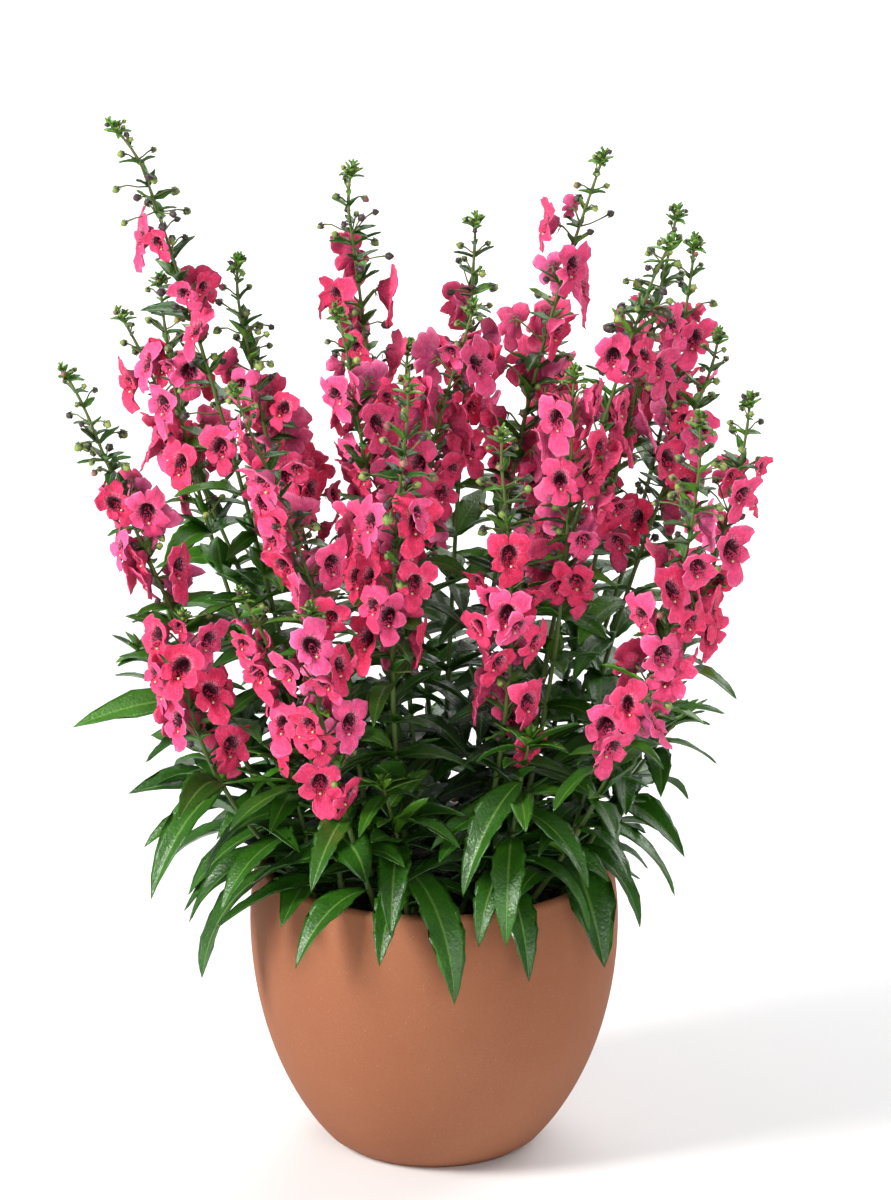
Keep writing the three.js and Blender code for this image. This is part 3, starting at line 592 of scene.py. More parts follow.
def place_low_bract(shoot, node, half):
    """A bract right under one of the lowest blooms, along its stalk."""
    face = face_towards(shoot["stem"], node["turn"] + half)
    turn = node["turn"] + half
    for bloom in shoot["blooms"]:
        if bloom["down"] == node["down"] and bloom["face"] == face:
            turn = turn_of(bloom["seat"] - bloom["root"])
    below = 2 * SPROUT_HALF * shoot["stem"]["length"] / shoot["stem"]["rise"]
    length = grown(node["rank"], *LOW_BRACT_LENGTH) * draw(0.85, 1.1)
    turn += draw(-5, 5)
    wish = {"length": length, "width": length * BRACT_WIDTH, "rise": BRACT_RISE, "sweep": 0}
    wish["droop"] = draw(30, 65)
    wish["roll"] = draw(-15, 15)
    place_leaf(shoot, node["down"] + below, turn, "bract", wish)


# Two long leaves that reach out of the crown at its left: shoot, height of the root, turn, length,
# rise, droop, sweep and roll
LONG_LEAVES = (
    (6, 241, 184, 74, 14, 40, 0, -35),
    (23, 203, 234, 76, 8, 78, -8, 0),
)
LONG_LEAF_WIDTH = 0.1


def place_long_leaves(shoots):
    """The long leaves at the left, on their stems, broad and straight."""
    for number, height, turn, length, rise, droop, sweep, roll in LONG_LEAVES:
        shoot = shoots[number - 1]
        stem = shoot["stem"]
        root = stem_at(stem, (height - stem["start"]) / stem["rise"])
        leaf = {"root": root, "turn": turn, "length": length, "rise": rise, "droop": droop}
        leaf.update({"sweep": sweep, "roll": roll, "width": length * LONG_LEAF_WIDTH})
        stand("stem-" + shoot["number"], leaf_samples(leaf), "more")
        shoot["more_leaves"].append(leaf)


# The finer plant bears more of the same between the pieces of the solids, closer together. Its
# own draws come from a second sequence, which is the same in every run too.
MORE_CLEAR = 1.4
loose = np.random.default_rng(417)

# Blooms between the pairs: their size at the top of a spike and how much it grows downwards, the
# share of the first places that bear one, at the top and how much it grows, the share of the
# later places, the size and share above the topmost pair, and the sizes that are still closed
MORE_SIZE = 0.64
MORE_SIZE_GROWS = 0.28
MORE_SHARE = 0.35
MORE_SHARE_GROWS = 0.3
LATER_SHARE = 0.2
TOPMOST_SIZE = 0.5
TOPMOST_SHARE = 0.6
CLOSED_SIZE = 0.55
CLOSED_SHARE = 0.1
MORE_REACHES = (0.85, 1.15, 1.5)
LATER_REACHES = (1.5, 1.85, 2.2)
MORE_TURNS = (0, 24, -24, 48, -48)

# Leaves between the pairs: the least spacing that leaves room for more, how far round the stem
# they keep from the others, and what they try
ROOM_BETWEEN = 20
ASIDE = 60
MORE_LEAF_BROADER = 1.2
MORE_LEAF_SIZES = (1, 0.72, 0.5)
MORE_LEAF_LIFTS = (0, 24, -22)
MORE_LEAF_TURNS = (0, 28, -28, 52, -52)


def place_more_blooms(shoot, later):
    """Blooms between the pairs of a spike, younger and smaller towards the tip: first an eighth
    of a turn over, halfway down to the next pair, and later where the crown still has room, on
    longer stalks. Each takes the first turn and length of stalk that stands clear."""
    nodes = [node for node in shoot["nodes"] if node["bears"] == "bloom"]
    rows = []
    for k, node in enumerate(nodes):
        low = k / len(nodes)
        size = MORE_SIZE + MORE_SIZE_GROWS * low
        share = MORE_SHARE + MORE_SHARE_GROWS * low
        if later:
            rows.append((node["down"] + BLOOM_SPACING / 4, node["turn"] + 20, size, LATER_SHARE))
            rows.append((node["down"] + BLOOM_SPACING * 3 / 4, node["turn"] - 20, size, LATER_SHARE))
        else:
            rows.append((node["down"] + BLOOM_SPACING / 2, node["turn"] + 45, size, share))
    if nodes and not later:
        above = nodes[0]["down"] - BLOOM_SPACING / 2
        rows.append((above, nodes[0]["turn"] - 45, TOPMOST_SIZE, TOPMOST_SHARE))
    for down, turn, size, share in rows:
        root = node_root(shoot, down)
        for half in PAIR:
            if loose.uniform() > share * shoot["open"]:
                continue
            values = {"root": root, "size": size + loose.uniform(-0.06, 0.1)}
            values.update({"rise": loose.uniform(-38, 14), "roll": loose.uniform(-30, 30)})
            values["closed"] = size < CLOSED_SIZE or loose.uniform() < CLOSED_SHARE
            lift = loose.uniform(20, 60)
            swing = loose.uniform(-35, 35)
            tries = []
            for reach in LATER_REACHES if later else MORE_REACHES:
                for off in MORE_TURNS:
                    facing = turn + half + off
                    seat = root + heading(facing, lift) * PEDICEL_LENGTH * reach
                    lean = lean_outwards(facing, root) + swing
                    tries.append({**values, "seat": seat, "turn": facing + lean})
            bloom = try_place("spike-" + shoot["number"], "more", tries, bloom_samples, MORE_CLEAR)
            if bloom:
                shoot["more_blooms"].append(bloom)


def place_more_leaves(shoot):
    """Leaves midway between the pairs of a stem, and where a pair had no room before. They are
    straighter than the others, and each takes the first size, lift and turn that stands clear."""
    nodes = [node for node in shoot["nodes"] if node["bears"] == "leaf"]
    rows = [(node["down"], node["turn"]) for node in nodes]
    for high, low in zip(nodes, nodes[1:]):
        if low["down"] - high["down"] > ROOM_BETWEEN:
            rows.append(((high["down"] + low["down"]) / 2, high["turn"] + 45))
    for down, turn in rows:
        height = shoot["stem"]["length"] - down
        low = math.exp(-height / LEAF_FADE)
        for half in PAIR:
            beside = [leaf for leaf in shoot["leaves"] if leaf["down"] == down]
            if any(abs(turn_between(leaf["turn"], turn + half)) < ASIDE for leaf in beside):
                continue
            length = full_length(low, turn + half) * loose.uniform(0.65, 1)
            wish = {"root": node_root(shoot, down), "sweep": loose.uniform(-20, 20)}
            wish.update({"roll": loose.uniform(-35, 35), "droop": loose.uniform(10, 45) + 35 * low})
            rise = loose.uniform(12, 50)
            tries = []
            for size in MORE_LEAF_SIZES:
                for lift in MORE_LEAF_LIFTS:
                    for off in MORE_LEAF_TURNS:
                        leaf = {**wish, "turn": turn + half + off, "rise": rise + lift}
                        leaf["length"] = length * size
                        leaf["width"] = length * size * LEAF_WIDTH * MORE_LEAF_BROADER
                        tries.append(leaf)
            leaf = try_place(owner_at(shoot, down), "more", tries, leaf_samples, MORE_CLEAR)
            if leaf:
                shoot["more_leaves"].append(leaf)


# How far down from its tip a spike nods, how far the tip swings sideways at most, and the share of
# that by which it sinks. The first spike has a turn and a swing of its own: most of all, to the left.
NOD_DOWN = 30
NOD_SWING = 6
NOD_SINK = 0.1
FIRST_NOD = (180, 9)


def nod_tips(shoots):
    """Draws which way the tip of each shoot nods, and how far: not at all on a leafy shoot."""
    for shoot in shoots:
        turn = loose.uniform(0, 360)
        swing = NOD_SWING * loose.uniform(0.3, 1) if shoot["bloom_pairs"] else 0
        if shoot["number"] == "01":
            turn, swing = FIRST_NOD
        shoot["nod"] = swing * heading(turn, 0) - np.array([0, 0, NOD_SINK * swing])


def nodding(shoot, down):
    """The shift of a point this far down from the tip: the nod times the square of the share of
    NOD_DOWN that lies below the point."""
    share = np.maximum(0, 1 - np.asarray(down, float) / NOD_DOWN)
    return np.multiply.outer(share**2, shoot["nod"])


def finer_root(shoot, down):
    """The point on the nodding stem this far down from its tip."""
    return node_root(shoot, down) + nodding(shoot, down)


# Surfaces. Each shell is a row of closed rings between two end points, and a piece gathers many.
@functools.lru_cache(maxsize=None)
def shell_faces(rings, around):
    """Triangles of a shell with its first end point, then the rings, then its last end point."""
    j = np.arange(around)
    n = (j + 1) % around
    first = [np.stack([np.zeros_like(j), 1 + j, 1 + n], axis=1)]
    for i in range(rings - 1):
        a, b = 1 + i * around + j, 1 + i * around + n
        first += [np.stack([b, a, a + around], axis=1), np.stack([b, a + around, b + around], axis=1)]
    low = 1 + (rings - 1) * around
    first.append(np.stack([np.full_like(j, low + around), low + n, low + j], axis=1))
    return np.vstack(first)


def new_piece():
    """A piece that has no shells yet."""
    return {"points": [], "faces": [], "finish": [], "place": [], "tone": [], "count": 0}


def add_shell(piece, rings, start, end, finish=0, along=None, around=None, tone=0.5, beyond=None):
    """Adds the closed shell of rings of points between two end points, turned to face outwards
    by the sign of its volume. Each point keeps its surface coordinates and its tone."""
    n, m, _ = rings.shape
    points = np.vstack([start, rings.reshape(-1, 3), end])
    faces = shell_faces(n, m)
    corners = points[faces] - points.mean(axis=0)
    volume = np.einsum("ij,ij->i", corners[:, 0], np.cross(corners[:, 1], corners[:, 2])).sum()
    if volume < 0:
        faces = faces[:, ::-1]
    along = np.arange(n) / (n - 1) if along is None else np.asarray(along, float)
    around = np.arange(m) / m if around is None else np.asarray(around, float)
    place = np.zeros((len(points), 3))
    place[1:-1, 0] = np.repeat(along, m)
    place[1:-1, 1] = np.tile(around, n)
    place[0, 0], place[-1, 0] = along[0], along[-1]
    place[0, 1] = place[-1, 1] = around.mean()
    if beyond is not None:
        place[1:-1, 2] = beyond.ravel()
        place[0, 2] = place[-1, 2] = beyond.min()
    piece["points"].append(points)
    piece["faces"].append(faces + piece["count"])
    piece["finish"].append(np.full(len(faces), finish))
    piece["place"].append(place)
    piece["tone"].append(np.full(len(points), tone))
    piece["count"] += len(points)


def make_object(name, piece, materials, slot, *nodes):
    """One smooth mesh in metres from a piece's shells, with its materials and surface values. It
    rides on the root body and stands for the nodes named."""
    points = np.vstack(piece["points"]) * MM
    faces = np.vstack(piece["faces"])
    mesh = bpy.data.meshes.new(name)
    mesh.vertices.add(len(points))
    mesh.vertices.foreach_set("co", points.ravel())
    mesh.loops.add(faces.size)
    mesh.loops.foreach_set("vertex_index", faces.ravel().astype(np.int32))
    mesh.polygons.add(len(faces))
    mesh.polygons.foreach_set("loop_start", np.arange(0, faces.size, 3, dtype=np.int32))
    mesh.polygons.foreach_set("material_index", np.concatenate(piece["finish"]).astype(np.int32))
    for material in materials:
        mesh.materials.append(material)
    mesh.update(calc_edges=True)
    mesh.validate()
    place = mesh.attributes.new("place", "FLOAT_VECTOR", "POINT")
    place.data.foreach_set("vector", np.vstack(piece["place"]).ravel())
    tone = mesh.attributes.new("tone", "FLOAT", "POINT")
    tone.data.foreach_set("value", np.concatenate(piece["tone"]))
    mesh.shade_smooth()
    thing = bpy.data.objects.new(name, mesh)
    bpy.context.scene.collection.objects.link(thing)
    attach(thing, "root")
    if nodes:
        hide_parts(*nodes)
    return thing


def carry_ring(line, radius, sides):
    """Rings round a line: circles of the given radii in the planes square to it, which turn with
    the line as little as they can."""
    ahead = unit(np.gradient(line, axis=0))
    guide = np.array([1.0, 0.0, 0.0]) if abs(ahead[0, 0]) < 0.8 else np.array([0.0, 1.0, 0.0])
    side = unit(np.cross(ahead, guide))
    up = np.cross(side, ahead)
    angle = 2 * math.pi * np.arange(sides) / sides
    spread = side[:, None] * np.cos(angle)[None, :, None] + up[:, None] * np.sin(angle)[None, :, None]
    return line[:, None] + spread * np.asarray(radius, float).reshape(-1, 1, 1)


def add_tube(piece, line, radius, sides, finish, tone=0.5, along=None):
    """A closed tube: rings round a line, with its two ends closed a little beyond it."""
    radius = np.broadcast_to(np.asarray(radius, float), (len(line),))
    rings = carry_ring(line, radius, sides)
    start = line[0] + unit(line[0] - line[1]) * radius[0] * 0.4
    end = line[-1] + unit(line[-1] - line[-2]) * radius[-1] * 0.6
    add_shell(piece, rings, start, end, finish, along=along, tone=tone)


# Finishes of the greens: leaf, stalk, calyx and bud
LEAF, STALK, CALYX, BUD = range(4)
# Finishes of the blooms: petal and tooth
PETAL, TOOTH = range(2)

# The steps along a midrib at which a leaf, a leaf between the pairs and a bract have a row of
# points
LEAF_STATIONS = np.array([1, 2, 3, 5, 6, 8, 9, 11, 12, 14, 15, 17, 18, 19])
MORE_STATIONS = np.array([1, 3, 5, 8, 11, 14, 17, 19])
BRACT_STATIONS = np.array([1, 3, 7, 11, 15, 18])

# A blade beside the solid one: how much broader, and its least half width. The teeth, the waves
# and the twist are shares of the half width, and the groove and the rib are millimetres.
BROADER = 1.12
NARROWEST = 0.6
TEETH = 0.055
WAVES = 0.11
TWIST = 0.16
GROOVE = 0.25
RIB = 0.5


def add_leaf(piece, leaf, tone, stations=LEAF_STATIONS, half=4, thick=0.24):
    """A leaf blade: across each station the width is a half sine of the length, the two halves
    rise from the midrib by the fold, the margin waves and bears blunt teeth, and the underside
    lies a thickness below with a rounded rib. Both faces meet at the margin."""
    line = leaf_line(leaf)
    s = stations / LEAF_STEPS
    side, up = leaf_across(leaf, s)
    width = BROADER * leaf["width"] * np.sin(math.pi * s**WIDEST_POWER) ** 0.9
    width = np.maximum(width, NARROWEST)[:, None]
    far = s[:, None]
    across = np.linspace(-1, 1, 2 * half + 1)
    _, wave_phase, twist_phase = loose.uniform(0, 2 * math.pi, 3)
    fold = LEAF_FOLD * loose.uniform(0.7, 1.7)
    teeth = 1 + TEETH * (-1.0) ** np.arange(len(s))[:, None] * np.abs(across) ** 6
    lift = fold * width * np.abs(across) ** 1.3 - GROOVE * np.exp(-((across / 0.12) ** 2))
    wave = WAVES * width * np.abs(across) ** 2 * np.sin(11 * far + wave_phase + 2 * across)
    twist = TWIST * width * across * np.sin(4 * far + twist_phase)
    top = line[stations][:, None] + side[:, None] * (width * across * teeth)[..., None]
    top = top + up[:, None] * (lift + wave + twist)[..., None]
    inner = across[1:-1]
    rib = RIB * np.exp(-((inner / 0.16) ** 2)) * (1 - far * 0.8)
    below = top[:, 1:-1] - up[:, None] * (2 * thick * (1 - inner**4 * 0.6) + rib)[..., None]
    rings = np.concatenate([top, below[:, ::-1]], axis=1)
    around = np.concatenate([across, inner[::-1]])
    add_shell(piece, rings, line[0], line[-1], LEAF, along=s, around=around, tone=tone)


def free_leaf(root, turn, rise, length, width, droop, roll=0):
    """A small leaf's named values, given its half width as a share of its length."""
    values = {"root": root, "turn": turn, "rise": rise, "length": length, "width": length * width}
    values.update({"droop": droop, "sweep": loose.uniform(-15, 15), "roll": roll})
    return values


def bent_line(start, leave, end, arrive, steps):
    """A curve of the third order: it leaves start along one vector and reaches end along another."""
    t = np.linspace(0, 1, steps)[:, None]
    a, d = np.asarray(start), np.asarray(end)
    b, c = a + leave, d - arrive
    return a * (1 - t) ** 3 + 3 * b * t * (1 - t) ** 2 + 3 * c * t * t * (1 - t) + d * t**3


# A sepal's rings: their shares of its length and how broad each is, then the half width as a share
# of the sepal's size, and the thickness
SEPAL_SHARES = np.array([0.1, 0.55])
SEPAL_BREADTHS = np.array([0.9, 0.8])
SEPAL_WIDTH = 0.17
SEPAL_THICKNESS = 0.25

# A bud's rings, and its length as a multiple of its size
BUD_SHARES = np.array([0.12, 0.38, 0.66, 0.88])
BUD_LENGTH = 2.2


def add_sepals(piece, seat, axes, length, spread, girth, tone, bend=1.0):
    """Five pointed sepals round a seat: each is a thin three-sided spindle that starts at the
    girth, leans out by the spread and goes forward by the length. A greater bend makes it lie
    flat at first and turn forward towards its point."""
    t = SEPAL_SHARES
    for k in range(5):
        angle = 2 * math.pi * (k + 0.5) / 5
        out = axes[0] * math.sin(angle) + axes[1] * math.cos(angle)
        over = np.cross(axes[2], out)
        line = seat + np.outer(girth + spread * t ** (1.5 / bend), out) + np.outer(length * t**bend, axes[2])
        tip = seat + out * (girth + spread * 1.1) + axes[2] * length
        half = SEPAL_BREADTHS[:, None] * max(length, spread) * SEPAL_WIDTH
        outer = line + out * SEPAL_THICKNESS - axes[2] * SEPAL_THICKNESS
        rings = np.stack([line + over * half, outer, line - over * half], 1)
        add_shell(piece, rings, line[0] - axes[2] * 0.6, tip, CALYX, tone=tone)


def add_bud(piece, root, turn, rise, length, size, tone):
    """A bud on its stalk: the stalk curves up to it and nods a little, and the bud is an egg whose
    rings follow the sine of their share, inside five close sepals."""
    along = heading(turn, rise)
    centre = root + along * length
    nod = unit(along + np.array([0, 0, loose.uniform(-1.1, 0.1)]))
    line = bent_line(root, heading(turn, rise - 15) * length * 0.4, centre, nod * length * 0.3, 4)
    add_tube(piece, line, [0.5, 0.42, 0.4, 0.55], 5, STALK, tone=0.75)
    side = unit(np.cross(nod, np.array([0.0, 0.0, 1.0])))
    axes = np.stack([side, np.cross(side, nod), nod])
    egg = centre + np.outer(BUD_SHARES * size * BUD_LENGTH, nod)
    rings = carry_ring(egg, size * np.sin(math.pi * BUD_SHARES**0.8) ** 0.7, 7)
    add_shell(piece, rings, centre, centre + nod * size * 2.25, BUD, tone=tone)
    add_sepals(piece, centre, axes, size * 1.5, size * 0.5, size * 0.7, tone)


# A bloom seen from the front. Its five lobes run clockwise from the top: two ears, two sides and
# the lip between them. Each has the turn, radius and forward place of the notch that it starts
# from, then the reach, the forward place of its middle, how far its middle is shifted along its
# edge (1 is not at all) and how blunt its edge is (a small number is square).
LOBES = (
    (0, 11.6, 3.8, 16.0, 3.0, 0.95, 0.46),
    (72, 6.6, 6.0, 11.6, 8.0, 1.45, 0.55),
    (147, 6.4, 8.6, 18.6, 11.5, 1.0, 0.38),
    (213, 6.4, 8.6, 11.6, 8.0, 0.69, 0.55),
    (288, 6.6, 6.0, 16.0, 3.0, 1.05, 0.46),
)
LIP = 2
EARS = (0, 4)

# How deep the notch between the ears comes, and how the ears curl: forward, hardly or back
TOP_NOTCHES = (9.4, 11.4, 13.0)
EAR_CURLS = (-1.0, -0.2, 0.6, 1.3)

# Half the mouth's width and height, the depth of its cup, the bulge of the blades and of the two
# cheeks beside the lip, the thickness, and the place of the tooth at the foot of the mouth
MOUTH_ACROSS = 4.5
MOUTH_TALL = 6.1
CUP_DEPTH = 5.5
BULGE = 1.3
CHEEKS = 1.2
PETAL_THICKNESS = 0.4
TOOTH_PLACE = (0, -5.0, 6.4)

# The points along each lobe's edge, and where the rings lie down the cup, out along the blade and
# on its back: in full, and fewer for the blooms between the pairs
LOBE_STEPS = 9
CUP_SHARES = np.array([0.4, 0.75, 1.0])
BLADE_SHARES = np.array([0.12, 0.3, 0.52, 0.75, 0.92, 1.0])
BACK_SHARES = np.array([0.95, 0.65, 0.3])
FEW_LOBE_STEPS = 6
FEW_CUP_SHARES = np.array([0.5, 1.0])
FEW_BLADE_SHARES = np.array([0.2, 0.5, 0.8, 1.0])
FEW_BACK_SHARES = np.array([0.85, 0.35])
FULL = (LOBE_STEPS, CUP_SHARES, BLADE_SHARES, BACK_SHARES)
FEW = (FEW_LOBE_STEPS, FEW_CUP_SHARES, FEW_BLADE_SHARES, FEW_BACK_SHARES)

# The compass turn of the plant's front, the share of the way by which a bloom turns to it, the
# turn away from it past which a bloom stays as it is, and the lowest rise of a nodding bloom
FRONT = 270
FRONT_SHARE = 0.3
FRONT_REACH = 140
LOWEST_NOD = -46


def bloom_edge(steps, closed):
    """The edge of a bloom: the turn round its face, and there the reach, the forward place and
    the angle by which the blade has curled back at its edge. Along each lobe the reach is the
    notch radius plus a power of a half sine, and a faint frill of two wavelengths."""
    start, notch, near, reach, front, shift, blunt = np.array(LOBES, float).T
    start = start + loose.uniform(-6, 6, 5)
    end = np.append(start[1:], start[0] + 360)
    notch = notch * loose.uniform(0.88, 1.1, 5)
    notch[0] = loose.choice(TOP_NOTCHES)
    reach = reach * loose.uniform(0.84, 1.07, 5)
    front = front + loose.uniform(-2.4, 2.4, 5)
    blunt = blunt * loose.uniform(0.75, 1.3, 5)
    shift = shift * loose.uniform(0.82, 1.2, 5)
    curl = loose.uniform(-0.7, 1.5, 5)
    curl[list(EARS)] = loose.choice(EAR_CURLS) + loose.uniform(-0.5, 0.5, 2)
    curl[LIP] = loose.uniform(-0.1, 1.5)
    if closed:
        curl = loose.uniform(-1.5, -1.1, 5)
    share = (1 - np.cos(math.pi * np.arange(steps) / steps)) / 2
    rise = np.sin(math.pi * share ** shift[:, None])

    def between(values):
        """The values at the notches, carried along each lobe by the share."""
        return values[:, None] + (np.roll(values, -1) - values)[:, None] * share

    angle = np.radians(start[:, None] + (end - start)[:, None] * share).ravel()
    radius = between(notch) + (reach[:, None] - between(notch)) * rise ** blunt[:, None]
    forward = between(near) + (front[:, None] - between(near)) * rise
    phase = loose.uniform(0, 2 * math.pi, 2)
    frill = 1 + 0.045 * np.sin(9 * angle + phase[0]) + 0.035 * np.sin(17 * angle + phase[1])
    return angle, radius.ravel() * frill, forward.ravel(), (curl[:, None] * rise**0.5).ravel()


def bloom_rings(steps, cups, blades, backs, closed):
    """The rings of one bloom in its own frame, right, up and forward. The cup is a bowl as wide
    as the mouth, which narrows downwards like a drop. The blades run from the mouth to the edge,
    and on the way they come forward, bulge, curl by an angle that grows with the square of the
    way, and crumple in crossed waves. The back repeats them one thickness behind."""
    angle, edge, front, curl = bloom_edge(steps, closed)
    phase = loose.uniform(0, 2 * math.pi, 6)
    across = MOUTH_ACROSS * loose.uniform(0.85, 1.1)
    mouth = 1 / np.sqrt((np.sin(angle) / across) ** 2 + (np.cos(angle) / MOUTH_TALL) ** 2)
    mouth = mouth * (1 - 0.16 * np.sin(2 * angle) ** 2 * (np.cos(angle) < 0))
    mouth = mouth * (1 + 0.05 * np.sin(2 * angle + phase[0]) + 0.05 * np.sin(3 * angle + phase[1]))
    lip = 5.0 - 1.6 * np.cos(angle)
    cheeks = np.exp(-(((np.abs(angle - math.pi) - 0.5) / 0.3) ** 2))
    shear = loose.uniform(-0.12, 0.12)
    warp = loose.uniform(-0.02, 0.02)
    saddle = loose.uniform(-0.015, 0.012)
    rings, beyond = [], []

    def add_ring(radius, forward):
        """One ring, sheared sideways, and warped and bent the more the further out it lies."""
        x, y = radius * np.sin(angle), radius * np.cos(angle)
        out = np.maximum(radius - mouth, 0) / 8
        rings.append(np.stack([x + shear * y, y, forward + (warp * x * y + saddle * x * x) * out], axis=1))
        beyond.append(radius - mouth)

    def add_blade(v, behind):
        """The ring at a share v of the way out, on the face or one thickness behind it."""
        length = edge - mouth
        radius = mouth + length * (v - curl**2 * v**5 / 10)
        x, y = radius * np.sin(angle), radius * np.cos(angle)
        crumple = np.sin(0.8 * x + phase[2]) * np.sin(0.7 * y + phase[3])
        crumple = 0.8 * crumple + 0.5 * np.sin(1.7 * x + phase[4]) * np.sin(1.5 * y + phase[5])
        forward = lip + (front - lip) * v**1.2 + BULGE * math.sin(math.pi * v) * (1 - v)
        forward = forward - length * (curl * v**3 / 3 - curl**3 * v**7 / 42) + crumple * v
        forward = forward + CHEEKS * cheeks * math.exp(-(((v - 0.2) / 0.2) ** 2))
        add_ring(radius, forward - behind * PETAL_THICKNESS * (1 + 1.6 * (1 - v)))

    for c in cups:
        add_ring(mouth * c**0.75, lip - CUP_DEPTH * (1 - c * c))
    for v in blades:
        add_blade(v, 0)
    for v in backs:
        add_blade(v, 1)
    add_ring(mouth * 1.04, lip - 2.5)
    add_ring(mouth * 0.76, lip - 5.4)
    along = np.concatenate([cups, 1 + blades, 3 - backs, [3.2, 3.4]]) / 4
    return np.array(rings), along, angle / (2 * math.pi), np.array(beyond)


def add_bloom(blooms, greens, bloom, rows=FULL):
    """One bloom with its tooth, stalk and calyx: it nods and swings by a little of its own, and
    unless it faces the plant's far side, it turns by a share of the way to the front. The stalk
    leaves the stem towards the seat and bends into the bloom's direction behind the cup."""
    swing = loose.uniform(-1, 1)
    way = turn_between(bloom["turn"], FRONT)
    way = FRONT_SHARE * way if abs(way) < FRONT_REACH else 0
    own = {"turn": bloom["turn"] + way + 18 * swing + 30 * swing**3}
    own["rise"] = max(LOWEST_NOD, bloom["rise"] + loose.uniform(-42, 10))
    axes = bloom_axes({**bloom, **own, "roll": bloom["roll"] + loose.uniform(-16, 16)})
    rings, along, around, beyond = bloom_rings(*rows, bloom.get("closed", False))
    seat, size = bloom["seat"], bloom["size"]
    rings = seat + size * rings @ axes
    cup, back = (seat + size * forward * axes[2] for forward in (-0.4, -1.6))
    tone = loose.uniform(0, 1)
    add_shell(blooms, rings, cup, back, PETAL, along, around, tone, beyond)
    tooth = seat + size * (np.array(TOOTH_PLACE) @ axes)
    lump = tooth + np.outer([-0.6, 0.1, 0.7], axes[2] + 0.5 * axes[1])
    add_tube(blooms, lump, np.array([0.6, 0.8, 0.5]) * size, 5, TOOTH)
    away = seat - bloom["root"]
    line = bent_line(bloom["root"], away * 0.4, back, axes[2] * 3.2, 5)
    add_tube(greens, line, [0.7, 0.55, 0.5, 0.55, 0.9], 5, STALK, tone=0.8)
    add_sepals(greens, back - axes[2] * 0.5 * size, axes, 2.4 * size, 4.0 * size, 1.0, tone, 1.8)


# The growing tip: pairs of leaves on a flowering and on a leafy shoot, buds, the distance between
# pairs, and how a leaf's length, for each kind of shoot, and its rise change further down
TIP_PAIRS = 6
LEAFY_TIP_PAIRS = 5
TIP_BUDS = 4
TIP_SPACING = 1.35
TIP_LEAF_LENGTH = (3.6, 0.95)
LEAFY_TIP_LEAF_LENGTH = (7, 3.5)
TIP_LEAF_RISE = (76, -10)

# The greens of a spike, by the rank of their node: the value at the top, its change at each node
# further down and the most that it is
BUD_STALK = (4.2, 1.5)
BUD_SIZE = (1.15, 0.26)
BUD_RISE = (44, -7)
BRACT_LENGTH = (6.5, 1.9, 26)
SMALL_LEAF_LENGTH = (7, 1.5, 24)
FINE_BRACT_WIDTH = 0.18
SMALL_LEAF_WIDTH = 0.17
CAPSULE_SIZE = 1.7

# The first rank whose node has small leaves and buds below it, how clear the pieces stand of all
# others, the shares of their places that bear one, and how short a crowded bract is
BETWEEN_FROM = 3
BRACT_CLEAR = 3.2
SMALL_LEAF_CLEAR = 2.4
BUD_CLEAR = 4.5
SMALL_LEAF_SHARE = 0.7
BUD_SHARE = 0.6
SHORTENED = 0.55


def leaf_is_clear(owner, leaf, least):
    """Whether the outer half of a leaf's midrib keeps this far from every piece."""
    return is_clear(owner, leaf_line(leaf)[LEAF_STEPS // 2:], "more", least)


def add_capsule(greens, bare):
    """Where a bloom has dropped: a short stalk with a small round seed capsule in its sepals."""
    length = loose.uniform(6, 9)
    add_bud(greens, bare["root"], bare["turn"], loose.uniform(20, 40), length, CAPSULE_SIZE, 0.2)


def add_tip(greens, shoot):
    """The growing tip: small pointed leaves in pairs, closer and steeper towards the top, and on
    a flowering shoot four tiny buds."""
    stem = shoot["stem"]
    flowering = shoot["bloom_pairs"] > 0
    for k in range(TIP_PAIRS if flowering else LEAFY_TIP_PAIRS):
        root = finer_root(shoot, 0.3 + TIP_SPACING * k)
        for half in PAIR:
            turn = stem["turn"] + 90 * k + half + loose.uniform(-25, 25)
            length = grown(k, *(TIP_LEAF_LENGTH if flowering else LEAFY_TIP_LEAF_LENGTH))
            rise = grown(k, *TIP_LEAF_RISE) + loose.uniform(-8, 8)
            width = 0.2 if flowering else 0.15
            leaf = free_leaf(root, turn, rise, length, width, loose.uniform(0, 60))
            add_leaf(greens, leaf, loose.uniform(0.6, 1), BRACT_STATIONS, 1, 0.15)
    for k in range(TIP_BUDS if flowering else 0):
        root = finer_root(shoot, 2.2 + 1.2 * k)
        add_bud(greens, root, loose.uniform(0, 360), loose.uniform(20, 70), 2.6, 0.85 + 0.1 * k, 0.9)


